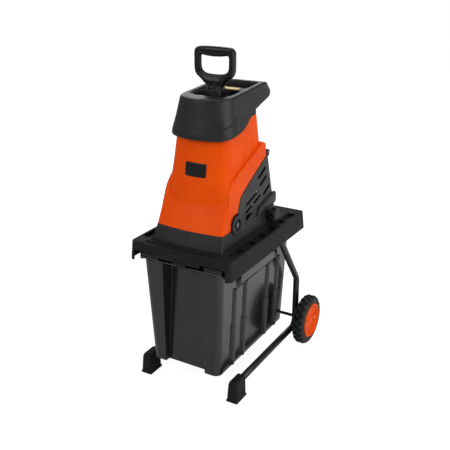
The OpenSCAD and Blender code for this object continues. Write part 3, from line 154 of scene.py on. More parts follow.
def softbox(name, place, aim, width, height, power):
    """A rectangular lamp that faces a point."""
    data = bpy.data.lights.new(name, "AREA")
    data.shape = "RECTANGLE"
    data.size, data.size_y = width, height
    data.energy = power
    lamp = bpy.data.objects.new(name, data)
    bpy.context.scene.collection.objects.link(lamp)
    lamp.location = place
    lamp.rotation_euler = (Vector(aim) - Vector(place)).to_track_quat("-Z", "Y").to_euler()


def pale_floor():
    """A floor that is white where it is seen, and still takes the object's shadow."""
    bm = bmesh.new()
    bmesh.ops.create_grid(bm, x_segments=8, y_segments=8, size=FLOOR_HALF)
    bm.transform(Matrix.Translation((0, 0, FLOOR_Z)))
    mesh = bpy.data.meshes.new("floor")
    bm.to_mesh(mesh)
    bm.free()
    floor = bpy.data.objects.new("floor", mesh)
    bpy.context.scene.collection.objects.link(floor)
    paint = bpy.data.materials.new("pale_floor")
    paint.use_nodes = True
    tree = paint.node_tree
    tree.nodes.clear()
    seen = seen_directly(tree, tree.nodes.new("ShaderNodeNewGeometry").outputs["Position"], FLOOR_FADE)
    matte = tree.nodes.new("ShaderNodeBsdfDiffuse")
    tree.links.new(spread(tree, seen, 0, 1, FLOOR_PALE, FLOOR_SHADED), matte.inputs["Color"])
    glow = tree.nodes.new("ShaderNodeEmission")
    glow.inputs["Color"].default_value = (1, 1, 1, 1)
    tree.links.new(spread(tree, seen, 0, 1, 0, FLOOR_GLOW), glow.inputs["Strength"])
    both = tree.nodes.new("ShaderNodeAddShader")
    tree.links.new(matte.outputs[0], both.inputs[0])
    tree.links.new(glow.outputs[0], both.inputs[1])
    out = tree.nodes.new("ShaderNodeOutputMaterial")
    tree.links.new(both.outputs[0], out.inputs[0])
    mesh.materials.append(paint)


photo_camera()
studio_world()
for lamp_values in SOFTBOXES:
    softbox(*lamp_values)
pale_floor()
bpy.context.scene.view_settings.view_transform = "Standard"


# Finishes

TONE_SCALE, GLOSS_SCALE = 14, 60  # of the clouds in a finish's colour and in its gloss
TONE_NOISE, GLOSS_NOISE = (0.35, 0.65), (0.3, 0.7)  # the noise's stretch that takes up each one's range
SHEEN_FROM, SHEEN_TO = 0.52, 0.62  # pointiness of an edge where the painted highlight begins, and where it is full
# share of the edge tone, a painted highlight, at its fullest
EDGE_SHEEN = 0.5


def noise(tree, coords, scale, detail):
    n = tree.nodes.new("ShaderNodeTexNoise")
    n.inputs["Scale"].default_value = scale
    n.inputs["Detail"].default_value = detail
    tree.links.new(coords, n.inputs["Vector"])
    return n.outputs["Fac"]


def tones(tree, value, first, second):
    """A mix of two colours; the first may be a node's output."""
    m = tree.nodes.new("ShaderNodeMix")
    m.data_type = "RGBA"
    if isinstance(first, tuple):
        m.inputs[6].default_value = (*first, 1)
    else:
        tree.links.new(first, m.inputs[6])
    m.inputs[7].default_value = (*second, 1)
    tree.links.new(value, m.inputs[0])
    return m.outputs[2]


def bumped(tree, shader, height, strength, distance):
    b = tree.nodes.new("ShaderNodeBump")
    b.inputs["Strength"].default_value = strength
    b.inputs["Distance"].default_value = distance
    tree.links.new(height, b.inputs["Height"])
    tree.links.new(b.outputs[0], shader.inputs["Normal"])


def finish(name, deep, light, rough, grain, edge=None, metal=0.0, specular=0.5):
    """A moulded or metal finish: two close tones, cloudy gloss, fine grain and paler edges, a painted
    highlight.
    rough is (least, most); grain is (scale, strength, height in metres); edge is the tone of that painted
    highlight."""
    m = bpy.data.materials.new(name)
    m.use_nodes = True
    tree = m.node_tree
    shader = tree.nodes["Principled BSDF"]
    coords = tree.nodes.new("ShaderNodeTexCoord").outputs["Object"]
    cloud = spread(tree, noise(tree, coords, TONE_SCALE, 4), *TONE_NOISE, 0, 1)
    colour = tones(tree, cloud, deep, light)
    # painted highlight: sharp convex edges, found by pointiness, turn towards the edge tone
    if edge:
        geometry = tree.nodes.new("ShaderNodeNewGeometry")
        sheen = spread(tree, geometry.outputs["Pointiness"], SHEEN_FROM, SHEEN_TO, 0, EDGE_SHEEN)
        colour = tones(tree, sheen, colour, edge)
    tree.links.new(colour, shader.inputs["Base Color"])
    gloss = spread(tree, noise(tree, coords, GLOSS_SCALE, 3), *GLOSS_NOISE, *rough)
    tree.links.new(gloss, shader.inputs["Roughness"])
    scale, strength, height = grain
    bumped(tree, shader, noise(tree, coords, scale, 2), strength, height)
    shader.inputs["Metallic"].default_value = metal
    shader.inputs["Specular IOR Level"].default_value = specular
    return m


# each finish's edge tone is a painted highlight along its sharp edges
ORANGE = finish("moulded_orange", (0.76, 0.070, 0.002), (0.82, 0.084, 0.003), (0.30, 0.38),
                (1500, 0.10, 0.0001), edge=(0.86, 0.13, 0.02), specular=0.05)
SATIN = finish("grained_black", (0.009, 0.009, 0.0095), (0.013, 0.013, 0.0135), (0.40, 0.50),
               (1300, 0.35, 0.0002), edge=(0.035, 0.035, 0.036), specular=0.26)
MATT = finish("matt_black", (0.008, 0.008, 0.0085), (0.012, 0.012, 0.0125), (0.55, 0.68),
              (1300, 0.35, 0.0002), edge=(0.03, 0.03, 0.031), specular=0.1)
GRIP = finish("grip_black", (0.005, 0.005, 0.0055), (0.007, 0.007, 0.0075), (0.24, 0.32),
              (420, 0.04, 0.0001), edge=(0.02, 0.02, 0.022), specular=0.2)
GLOSS = finish("polished_black", (0.006, 0.006, 0.0065), (0.009, 0.009, 0.0095), (0.14, 0.20),
               (420, 0.04, 0.0001), edge=(0.03, 0.03, 0.032), specular=0.45)
TUBE = finish("black_tube_paint", (0.007, 0.007, 0.0075), (0.010, 0.010, 0.011), (0.20, 0.28),
              (700, 0.12, 0.0001), edge=(0.03, 0.03, 0.03), specular=0.3)
TYRE = finish("tyre_plastic", (0.009, 0.009, 0.009), (0.014, 0.014, 0.014), (0.50, 0.65),
              (900, 0.4, 0.0003), edge=(0.035, 0.035, 0.035), specular=0.25)
BELT = finish("belt_rubber", (0.012, 0.012, 0.012), (0.020, 0.019, 0.018), (0.7, 0.85),
              (800, 0.5, 0.0003), specular=0.3)
ZINC = finish("zinc_plated_steel", (0.55, 0.56, 0.58), (0.66, 0.67, 0.68), (0.28, 0.42),
              (900, 0.1, 0.0001), edge=(0.75, 0.75, 0.76), metal=1.0)
DARK_STEEL = finish("oiled_steel", (0.09, 0.09, 0.095), (0.13, 0.13, 0.135), (0.35, 0.48),
                    (800, 0.15, 0.0001), edge=(0.3, 0.3, 0.31), metal=1.0)
CAST = finish("cast_aluminium", (0.48, 0.48, 0.49), (0.58, 0.58, 0.59), (0.42, 0.58),
              (1100, 0.5, 0.0003), edge=(0.7, 0.7, 0.7), metal=1.0)
COPPER = finish("lacquered_copper", (0.46, 0.17, 0.06), (0.56, 0.23, 0.09), (0.25, 0.4),
                (1400, 0.4, 0.0003), metal=1.0)
GREEN = finish("green_button", (0.02, 0.30, 0.05), (0.03, 0.36, 0.07), (0.3, 0.4),
               (1200, 0.15, 0.0001), edge=(0.10, 0.5, 0.16))
RED = finish("red_button", (0.52, 0.012, 0.008), (0.60, 0.018, 0.012), (0.3, 0.4),
             (1200, 0.15, 0.0001), edge=(0.75, 0.08, 0.06))
PLATE = finish("black_plate", (0.004, 0.004, 0.0045), (0.006, 0.006, 0.0065), (0.22, 0.3),
               (300, 0.03, 0.0001), edge=(0.02, 0.02, 0.02), specular=0.35)
LABEL = finish("pale_yellow_label", (0.74, 0.50, 0.12), (0.80, 0.56, 0.16), (0.42, 0.52),
               (900, 0.1, 0.0001))
SLOT_FINISH = {
    "orange_plastic": ORANGE, "satin_black": SATIN, "gloss_black": GLOSS, "tube_paint": TUBE,
    "tyre_black": TYRE, "belt_rubber": BELT, "zinc_steel": ZINC, "black_steel": DARK_STEEL,
    "cast_aluminium": CAST, "copper": COPPER, "green_button": GREEN, "red_button": RED}


# Making pieces

SHARP = math.radians(32)  # edges that bend more than this are rounded
FLAT = math.radians(0.7)  # neighbouring faces that bend less than this are one flat
WELD = 0.005  # millimetres within which points are one


def piece(name, mesh, material, body, slot, *stands_for):
    """Links a finished mesh as a piece of the object."""
    obj = bpy.data.objects.new(name, mesh)
    bpy.context.scene.collection.objects.link(obj)
    mesh.materials.clear()
    mesh.materials.append(material)
    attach(obj, body)
    if stands_for:
        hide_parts(*stands_for)
    return obj


def mesh_of(bm, name):
    """A smooth-shaded mesh from a bmesh, which is freed."""
    mesh = bpy.data.meshes.new(name)
    bm.to_mesh(mesh)
    bm.free()
    for p in mesh.polygons:
        p.use_smooth = True
    return mesh


def joined(name, meshes):
    """Several meshes as one; they themselves are removed."""
    bm = bmesh.new()
    for m in meshes:
        bm.from_mesh(m)
        bpy.data.meshes.remove(m)
    return mesh_of(bm, name)


def evenly_shaded(obj):
    """Lets the larger faces lead the shading at an edge."""
    even = obj.modifiers.new("even_shading", "WEIGHTED_NORMAL")
    even.weight = 60


def subdivided(obj, levels):
    m = obj.modifiers.new("smooth_skin", "SUBSURF")
    m.levels = m.render_levels = levels


def walled(obj, thickness):
    """Gives an outer skin its wall, inwards."""
    m = obj.modifiers.new("wall", "SOLIDIFY")
    m.thickness = thickness * MM
    m.offset = -1


def smooth_areas(bm):
    """For each face the number of the smooth area it lies in, and each area's mean width."""
    area_of = {}
    widths = []
    for first in bm.faces:
        if first in area_of:
            continue
        number = len(widths)
        area_of[first] = number
        todo, size, border = [first], 0.0, 0.0
        while todo:
            face = todo.pop()
            size += face.calc_area()
            for edge in face.edges:
                if len(edge.link_faces) != 2 or edge.calc_face_angle() > SHARP:
                    border += edge.calc_length()
                    continue
                for other in edge.link_faces:
                    if other not in area_of:
                        area_of[other] = number
                        todo.append(other)
        widths.append(2 * size / border if border else 1.0)
    return area_of, widths


def weigh_edges(bm, width):
    """Marks the sharp edges for rounding, less beside narrow areas such as the walls of a seam."""
    area_of, widths = smooth_areas(bm)
    weight = bm.edges.layers.float.new("bevel_weight_edge")
    for edge in bm.edges:
        if len(edge.link_faces) == 2 and edge.calc_face_angle() > SHARP:
            least = min(widths[area_of[f]] for f in edge.link_faces)
            edge[weight] = min(1, 0.4 * least / (width * MM))


def rounded(node, width, segments, merge_flats=True, material=None):
    """A moulded copy of a CAD node with eased edges, standing for that node."""
    bm = bmesh.new()
    bm.from_mesh(frame["nodes"][node].data)
    bmesh.ops.remove_doubles(bm, verts=bm.verts, dist=WELD * MM)
    bmesh.ops.dissolve_degenerate(bm, edges=bm.edges, dist=WELD * MM)
    if merge_flats:
        bmesh.ops.dissolve_limit(bm, angle_limit=FLAT, verts=bm.verts, edges=bm.edges)
    weigh_edges(bm, width)
    name = node + "_moulded"
    slot = SLOT_OF[node]
    obj = piece(name, mesh_of(bm, name), material or SLOT_FINISH[slot], BODY_OF[node], slot, node)
    bevel = obj.modifiers.new("eased_edges", "BEVEL")
    bevel.width = width * MM
    bevel.segments = segments
    bevel.limit_method = "WEIGHT"
    bevel.use_clamp_overlap = False
    bevel.loop_slide = False
    bevel.miter_outer = "MITER_ARC"
    evenly_shaded(obj)


def skin(name, rows, wrap=False, ends=False):
    """Quads over rows of points in millimetres; each row is a closed ring. wrap joins the last row to the
    first, and ends closes the first and the last."""
    bm = bmesh.new()
    rings = [[bm.verts.new(at(*p)) for p in row] for row in rows]
    count = len(rings[0])
    pairs = list(zip(rings, rings[1:])) + ([(rings[-1], rings[0])] if wrap else [])
    for low, high in pairs:
        for i in range(count):
            j = (i + 1) % count
            bm.faces.new((low[i], low[j], high[j], high[i]))
    if ends:
        bm.faces.new(list(reversed(rings[0])))
        bm.faces.new(rings[-1])
    bmesh.ops.recalc_face_normals(bm, faces=bm.faces)
    return mesh_of(bm, name)


# Lines, outlines and rings, in millimetres


def mix(a, b, t):
    return a + (b - a) * t


def rise(a, b, v):
    """A smooth step from 0 at a to 1 at b."""
    t = min(1, max(0, (v - a) / (b - a)))
    return t * t * (3 - 2 * t)


def squared(v, power):
    """A sine or cosine pushed out towards 1 or -1, which turns a circle into a rounded square."""
    return math.copysign(abs(v) ** power, v)


def full_turn(count):
    """Even angles round a circle."""
    return [2 * math.pi * i / count for i in range(count)]


def along(points, x):
    """Height at x on a line of (x, height) points in rising x."""
    for (x0, z0), (x1, z1) in zip(points, points[1:]):
        if x <= x1:
            return mix(z0, z1, max(0, (x - x0) / (x1 - x0)))
    return points[-1][1]


def section(stations, z):
    """Plan values at height z between stations of height, half-width, front, back, crown, front radius and
    rear radius."""
    for low, high in zip(stations, stations[1:]):
        if z <= high[0]:
            t = (z - low[0]) / (high[0] - low[0])
            return [mix(a, b, t) for a, b in zip(low[1:], high[1:])]
    return stations[-1][1:]


def grown(plan, out):
    """A plan outline set out on all sides."""
    half, front, back, crown, front_r, rear_r = plan
    return half + out, front - out, back + out, crown, front_r + out, rear_r + out


def plan_point(plan, part, t):
    """A point on the right half of a plan outline, at share t of its front, corner, side, heel or back."""
    half, front, back, crown, front_r, rear_r = plan
    slope = 0.0
    for _ in range(16):
        slope = mix(slope, math.atan2(2 * crown, half - front_r * (1 - math.sin(slope))), 0.5)
    front_end = half - front_r * (1 - math.sin(slope))
    mid_x = front_end - front_r * math.sin(slope)
    mid_y = front + crown + front_r * math.cos(slope)
    if part == "front":
        return front_end * t, front + crown * t * t
    if part == "corner":
        a = mix(slope - math.pi / 2, 0, t)
        return mid_x + front_r * math.cos(a), mid_y + front_r * math.sin(a)
    if part == "side":
        return half, mix(mid_y, back - rear_r, t)
    if part == "heel":
        a = mix(0, math.pi / 2, t)
        return half - rear_r + rear_r * math.cos(a), back - rear_r + rear_r * math.sin(a)
    return (half - rear_r) * (1 - t), back


def stretch(part, count, first=0.0, last=1.0):
    """Even steps over a stretch of an outline's part, without the first point."""
    return [(part, mix(first, last, (i + 1) / count)) for i in range(count)]


def both_halves(right):
    """A closed ring from its right half, which runs from the front's middle to the back's middle."""
    return right + [(-x, y, z) for x, y, z in reversed(right[1:-1])]


def arc(y, z, r, first, last, steps):
    """Points on an arc in degrees, each with its angle."""
    turns = [math.radians(mix(first, last, i / steps)) for i in range(steps + 1)]
    return [(y + r * math.cos(a), z + r * math.sin(a), a) for a in turns]


def rounded_box(half_x, half_y, r, steps=5, straight=1):
    """A ring round a rectangle with rounded corners; each straight side has that many steps."""
    bends = []
    for k, (sx, sy) in enumerate(((1, -1), (1, 1), (-1, 1), (-1, -1))):
        turns = [math.radians(-90 + 90 * k + 90 * i / steps) for i in range(steps + 1)]
        x, y = sx * (half_x - r), sy * (half_y - r)
        bends.append([(x + r * math.cos(a), y + r * math.sin(a)) for a in turns])
    ring = []
    for bend, after in zip(bends, bends[1:] + bends[:1]):
        ring += bend
        (x0, y0), (x1, y1) = bend[-1], after[0]
        ring += [(mix(x0, x1, i / straight), mix(y0, y1, i / straight)) for i in range(1, straight)]
    return ring


def turned(name, outline, y, z, count):
    """A closed outline of (radius, x) points turned about a line along X at y, z."""
    ring = full_turn(count)
    rows = [[(x, y + r * math.cos(a), z + r * math.sin(a)) for a in ring] for r, x in outline]
    return skin(name, rows, wrap=True)


# Hood and tower

HOOD = [  # stations as section reads them
    (491, 106, 45, 324, 9, 8, 6), (558, 103, 74, 324, 9, 9, 6), (600, 100, 84, 324, 10, 14, 8),
    (706, 95, 97, 322, 12, 20, 14)]
HOOD_WALL = 2.8
TOWER = [
    (545, 99, 72.5, 314, 10, 20, 16), (650, 89.5, 91.5, 309, 13, 24, 18), (812, 76, 112, 297, 13, 26, 18)]
TOWER_SIDE = (129, 271)  # depths on the shoulder between which the tower's flat side stands
SHOULDER = [  # depth and height
    (0, 558), (78, 559), (90, 571), (100, 597), (119, 619), (163, 642), (270, 679), (300, 694), (328, 681)]
LUG_Y, LUG_Z = 127, 502  # middle of the base's round front lug
LUG_GAP = 29.5  # radius that the hood leaves for the lug
LUG_SPAN = 11.2  # the hood follows the lug from this far below its middle to this far behind it
HOOD_EDGE = [  # depth and height on the lower edge, depth on the shoulder above, and steps to the next
    ((62, 491), 92, 3), ((99.6, 491), 104, 1), ((97.5, 502), 107, 2), ((106.1, 522.9), 113, 3),
    ((127, 531.5), 127, 2), ((138, 529.4), 138, 2), ((143, 544), 145, 2), ((157, 571), 160, 4),
    ((195, 591), 200, 7), ((271, 629), 271, 5), ((318, 651), 318, 0)]
RIDGES = [(197, 636, 207, 692), (247, 658, 257, 708)]  # depth and height of each ridge's foot and top
RIDGE_R, RIDGE_SUNK = 2.6, 0.4
KNUCKLE_X = (72.4, 83.6)
KNUCKLE_R, KNUCKLE_BORE, KNUCKLE_EASE = 8, 3.05, 0.7
HINGE_Y, HINGE_Z = 338, 655
ARM_Y = (319, 326, 334.5)
ARM_Z = 659


def on_lug(y, z):
    """Keeps points that lie by the round front lug on its circle."""
    out, up = y - LUG_Y, z - LUG_Z
    if up < -LUG_SPAN or out > LUG_SPAN or math.hypot(out, up) > LUG_GAP + 4:
        return y, z
    reach = LUG_GAP / math.hypot(out, up)
    return LUG_Y + out * reach, LUG_Z + up * reach


def hood_columns():
    """Columns over the hood's right half, from the middle of the front to the middle of the back. Each has
    its part and share of the hood's outline; on the side, its point on the lower edge and its depth on the
    shoulder; and its part and share of the tower's outline."""
    side = []
    for (low, over, steps), (next_low, next_over, _) in zip(HOOD_EDGE, HOOD_EDGE[1:]):
        for k in range(steps):
            t = k / steps
            edge = on_lug(mix(low[0], next_low[0], t), mix(low[1], next_low[1], t))
            side.append((edge, mix(over, next_over, t)))
    side.append(HOOD_EDGE[-1][:2])
    first, last = TOWER_SIDE
    fore = [c for c in side if c[1] < first]
    middle = [c for c in side if first <= c[1] <= last]
    rear = [c for c in side if c[1] > last]

    columns = [("front", i / 12, None, None, ("front", i / 12)) for i in range(13)]
    corner = [i / 6 for i in range(1, 6)]
    count = len(corner) + len(fore)
    for i, t in enumerate(corner, 1):
        columns.append(("corner", t, None, None, ("corner", i / count)))
    for i, (edge, over) in enumerate(fore, len(corner) + 1):
        columns.append(("side", 0, edge, over, ("corner", i / count)))
    for edge, over in middle:
        share = mix(0.05, 0.99, (over - first) / (last - first))
        columns.append(("side", 0, edge, over, ("side", share)))
    heel = [i / 4 for i in range(1, 5)]
    count = len(rear) + len(heel)
    for i, (edge, over) in enumerate(rear):
        columns.append(("side", 0, edge, over, ("heel", i / count)))
    for i, t in enumerate(heel, len(rear) + 1):
        columns.append(("heel", t, None, None, ("heel", i / count)))
    columns += [("back", i / 8, None, None, ("back", i / 8)) for i in range(1, 9)]
    return columns


def shoulder_height(stations, part, t):
    """Height at which a wall meets the shoulder; each pass betters the first guess."""
    z = 600
    for _ in range(12):
        z = along(SHOULDER, plan_point(section(stations, z), part, t)[1])
    return z


def hood_shell():
    """Hood and tower in one skin: lower edge, wall, shoulder, tower wall, top edge."""
    wall = (0, 0.02, 0.12, 0.3, 0.5, 0.7, 0.86, 0.95, 1)
    ledge = (0.45, 0.85, 1)
    climb = (0.02, 0.06, 0.16, 0.28, 0.4, 0.52, 0.64, 0.76, 0.88, 0.97, 1)
    columns = []
    for part, t, edge, over, (tower_part, tower_t) in hood_columns():
        if part == "side":
            (y0, z0), z1 = edge, along(SHOULDER, over)
            heights = [mix(z0, z1, f) for f in wall]
            column = [(section(HOOD, z)[0], mix(y0, over, f), z) for f, z in zip(wall, heights)]
        else:
            z0 = HOOD[0][0] if part in ("front", "corner") else HOOD_EDGE[-1][0][1]
            z1 = shoulder_height(HOOD, part, t)
            heights = [mix(z0, z1, f) for f in wall]
            column = [(*plan_point(section(HOOD, z), part, t), z) for z in heights]
        tower_low = shoulder_height(TOWER, tower_part, tower_t)
        x0, y0, _ = column[-1]
        x1, y1 = plan_point(section(TOWER, tower_low), tower_part, tower_t)
        for f in ledge:
            y = mix(y0, y1, f)
            column.append((mix(x0, x1, f), y, along(SHOULDER, y)))
        for f in climb:
            z = mix(tower_low, TOWER[-1][0], f)
            column.append((*plan_point(section(TOWER, z), tower_part, tower_t), z))
        columns.append(column)
    mesh = skin("upper_housing_shell", [both_halves(list(row)) for row in zip(*columns)])
    obj = piece("upper_housing_shell", mesh, ORANGE, "hood", "orange_plastic", "upper_housing")
    walled(obj, HOOD_WALL)
    subdivided(obj, 1)


def hood_knuckles():
    """The hood's two hinge knuckles and the arms that carry them."""
    shapes = []
    x0, x1 = KNUCKLE_X
    eased_r = KNUCKLE_R - KNUCKLE_EASE
    outline = [(KNUCKLE_BORE, x0), (eased_r, x0), (KNUCKLE_R, x0 + KNUCKLE_EASE),
               (KNUCKLE_R, x1 - KNUCKLE_EASE), (eased_r, x1), (KNUCKLE_BORE, x1)]
    for side in (-1, 1):
        shapes.append(turned("knuckle", [(r, side * x) for r, x in outline], HINGE_Y, HINGE_Z, 32))
        mid, half = side * (x0 + x1) / 2, (x1 - x0) / 2
        rows = [[(mid + x, y, ARM_Z + h) for x, h in rounded_box(half, 3, 0.8, 2)] for y in ARM_Y]
        shapes.append(skin("arm", rows, ends=True))
    piece("hood_knuckles", joined("hood_knuckles", shapes), ORANGE, "hood", "orange_plastic")


def tower_ridges():
    """Two upright ridges on each side of the tower."""
    shapes = []
    ring = full_turn(12)
    for side in (-1, 1):
        for y0, z0, y1, z1 in RIDGES:
            rows = []
            for i in range(13):
                t = i / 12
                y, z = mix(y0, y1, t), mix(z0, z1, t)
                r = RIDGE_R * math.sqrt(max(0.02, 1 - abs(2 * t - 1) ** 8))
                x = section(TOWER, z)[0] - RIDGE_SUNK
                rows.append([(side * (x + r * math.cos(a)), y + r * math.sin(a), z) for a in ring])
            shapes.append(skin("ridge", rows, ends=True))
    piece("tower_ridges", joined("tower_ridges", shapes), ORANGE, "hood", "orange_plastic")


# Hopper

HOPPER = [(727, 95, 86, 374, 17, 46, 6), (735, 98, 83, 374, 17, 48, 6), (747, 98, 84, 374, 17, 48, 6),
          (787, 89, 92, 374, 15, 52, 6), (838, 80, 99, 374, 13, 60, 6), (863, 78, 102, 374, 12, 62, 6)]
HOPPER_WALL = 2.6
HOPPER_LOW = [  # depth and height of the lower edge
    (0, 733), (98, 733.5), (112, 736), (134, 741.5), (155, 745), (172, 748), (190, 753), (205, 760),
    (217, 767), (228, 773.5), (238, 777), (261, 779.5), (264.5, 791), (358, 814)]
HOPPER_TOP = [(60, 836.5), (150, 840), (200, 843.5), (340, 854), (352, 853)]
HANDLE_BACK = [  # share of the height and depth
    (0, 358), (0.15, 365), (0.3, 368), (0.47, 368), (0.78, 361), (1, 355)]
GROOVE = [  # depth and height of the groove round the front panel
    (60, 761), (92, 761.5), (105, 764), (119.5, 769), (142.5, 777), (160.5, 788), (170, 798), (178, 811),
    (188, 827), (197, 850)]
GROOVE_DEEP, GROOVE_FLOOR, GROOVE_HALF = 2.0, 0.6, 2.4  # depth, and half-widths of its floor and its mouth
LOW_EDGE_IN = 1.2
RIM_R, RECESS_R = 6, 4
RECESS = (61, 152, 332, 0, 28, 8)  # plan as plan_point reads it
RECESS_LOW = 824
FEED = (58, 157, 262, 0, 26, 26)
FEED_DEEP = (14, 30)  # levels of the feed opening's wall, down from the ledge
LEDGE_BACK = 302
LEDGE = [(150, 838.5), (LEDGE_BACK, 839.5)]  # depth and height of the ledge round the feed opening
LEDGE_R, LEDGE_WALL = 3, 2.4


def hopper_point(part, t, share, inset, drop):
    """A point of the hopper's wall at a share of its height; drop lowers the wall's top. Each pass betters
    the first guess of its height."""
    z = 790.0
    for _ in range(8):
        half, front, _, crown, front_r, rear_r = section(HOPPER, z)
        back = along(HANDLE_BACK, share)
        x, y = plan_point(grown((half, front, back, crown, front_r, rear_r), -inset), part, t)
        z = mix(along(HOPPER_LOW, y), along(HOPPER_TOP, y) - drop, share)
    return x, y, z


def groove_at(y, z):
    """Depth of the groove round the front panel at a point of the wall's side view."""
    gap = 99.0
    for (y0, z0), (y1, z1) in zip(GROOVE, GROOVE[1:]):
        run, climb = y1 - y0, z1 - z0
        t = min(1, max(0, ((y - y0) * run + (z - z0) * climb) / (run * run + climb * climb)))
        gap = min(gap, math.hypot(y - y0 - run * t, z - z0 - climb * t))
    return GROOVE_DEEP * (1 - rise(GROOVE_FLOOR, GROOVE_HALF, gap))


def hopper_column(part, t, heights):
    """Wall from its lower edge, rounded top edge, rim, rounded inner edge, wall of the recess."""
    column = [hopper_point(part, t, 0, LOW_EDGE_IN, RIM_R)]
    for share in heights:
        _, y, z = hopper_point(part, t, share, 0, RIM_R)
        column.append(hopper_point(part, t, share, groove_at(y, z), RIM_R))
    for k in range(1, 6):
        a = math.radians(18 * k)
        column.append(hopper_point(part, t, 1, RIM_R * (1 - math.cos(a)), RIM_R * (1 - math.sin(a))))
    x0, y0, _ = column[-1]
    x1, y1 = plan_point(grown(RECESS, RECESS_R), part, t)
    for f in (0.5, 1):
        x, y = mix(x0, x1, f), mix(y0, y1, f)
        column.append((x, y, along(HOPPER_TOP, y)))
    for k in range(1, 4):
        a = math.radians(30 * k)
        x, y = plan_point(grown(RECESS, RECESS_R * (1 - math.sin(a))), part, t)
        column.append((x, y, along(HOPPER_TOP, y) - RECESS_R * (1 - math.cos(a))))
    x, y, z = column[-1]
    return column + [(x, y, mix(z, RECESS_LOW, f)) for f in (0.5, 1)]


def feed_hopper():
    """The hopper's shell, and the ledge round the feed opening inside it."""
    outline = [("front", 0.0)] + stretch("front", 22) + stretch("corner", 30)
    outline += stretch("side", 20, 0, 0.2) + stretch("side", 26, 0.2, 1)
    outline += stretch("heel", 4) + stretch("back", 10)
    heights = [0.012] + [i / 72 for i in range(1, 73)]
    rows = zip(*[hopper_column(part, t, heights) for part, t in outline])
    slot = SLOT_OF["feed_hopper"]
    mesh = skin("feed_hopper_shell", [both_halves(list(r)) for r in rows])
    shell = piece("feed_hopper_shell", mesh, SATIN, "hood", slot, "feed_hopper")
    walled(shell, HOPPER_WALL)

    half, front, _, _, front_r, _ = grown(RECESS, 0.3)
    rings = [((half, front, LEDGE_BACK, 0, front_r, 3), 0)]
    for k in range(4):
        a = math.radians(30 * k)
        rings.append((grown(FEED, LEDGE_R * (1 - math.sin(a))), LEDGE_R * (1 - math.cos(a))))
    rings += [(FEED, deep) for deep in FEED_DEEP]
    rows = []
    for plan, down in rings:
        spots = [plan_point(plan, part, t) for part, t in outline]
        rows.append(both_halves([(x, y, along(LEDGE, y) - down) for x, y in spots]))
    ledge = piece("feed_ledge", skin("feed_ledge", rows), SATIN, "hood", slot)
    walled(ledge, LEDGE_WALL)


# Base

BASE = [(447, 113, 29, 398, 10, 7, 48), (491, 106, 45, 392, 9, 7, 46)]
BASE_WALL = 3
SEAM_X, SEAM_HALF, SEAM_DEEP = 2.9, 0.75, 0.9
SEAM_LOW, SEAM_HIGH = 453, 489
SEAM_COLUMNS = (-1.1, -0.65, -0.3, 0.3, 0.7, 1.1)  # across, from the seam's middle
BASE_LEVELS = [  # height and inset, up the outside and down the inside
    (447, 0), (452.8, 0), (453.4, 0), (462, 0), (474, 0), (488.4, 0), (489, 0), (489.8, 0), (490.6, 0.35),
    (491, 1.2), (491, BASE_WALL - 0.5), (490.4, BASE_WALL), (470, BASE_WALL), (447, BASE_WALL)]
ROLL_FRONT, ROLL_BACK = 248, 362
ROLL_TOP = [(ROLL_FRONT, 507), (256, 513), (291, 522), (322, 530), (345, 534.5), (ROLL_BACK, 533)]
ROLL_LOW = [(ROLL_FRONT, 487), (262, 488.5), (306, 492.5), (352, 496.5), (ROLL_BACK, 498)]
ROLL_X, ROLL_HALF, ROLL_END = 106.4, 6.6, 6.5
ROLL_SQUARE, ROLL_SLANT = 0.7, 0.45  # power of its rounded section, and lean of its front end
BOLT_HOLE = 4.3
FRONT_LUG = [  # radius and distance from the middle
    (BOLT_HOLE, 100), (27, 100), (28, 101), (28, 110.6), (27.6, 111.6), (26.6, 112), (17.9, 112),
    (16.9, 111.6), (16.5, 110.6), (16.5, 107.6), (16, 107), (BOLT_HOLE, 107)]
KNOB_Y, KNOB_Z = 320, 474
KNOB_BOSS = [(BOLT_HOLE, 101), (13, 101), (13, 111.8), (12.3, 112.5), (BOLT_HOLE, 112.5)]


def base_ring(z, inset, outline):
    """The base's outline at a height, with the upright seam pressed into its front."""
    plan = grown(section(BASE, z), -inset)
    ring = both_halves([(*plan_point(plan, part, t), z) for part, t in outline])
    deep = SEAM_DEEP if inset < 1 and SEAM_LOW < z < SEAM_HIGH else 0
    return [(x, y + deep if abs(x - SEAM_X) < SEAM_HALF and y < 60 else y, z) for x, y, z in ring]


def shoulder_roll(side):
    """The rounded roll over the knob: it climbs to the back and has slanting, rounded ends."""
    rows = []
    for i in range(41):
        share = i / 40
        y = mix(ROLL_FRONT, ROLL_BACK, share)
        low, top = along(ROLL_LOW, y), along(ROLL_TOP, y)
        near = min(1, min(y - ROLL_FRONT, ROLL_BACK - y) / ROLL_END)
        inset = ROLL_END * (1 - math.sqrt(1 - (1 - near) ** 2)) * 0.96
        half, tall = ROLL_HALF - inset, (top - low) / 2 - inset
        ring = []
        for a in full_turn(28):
            x = ROLL_X + squared(math.cos(a), ROLL_SQUARE) * half
            up = squared(math.sin(a), ROLL_SQUARE) * tall
            ring.append((side * x, y + ROLL_SLANT * up * (1 - share), (low + top) / 2 + up))
        rows.append(ring)
    return skin("roll", rows, ends=True)


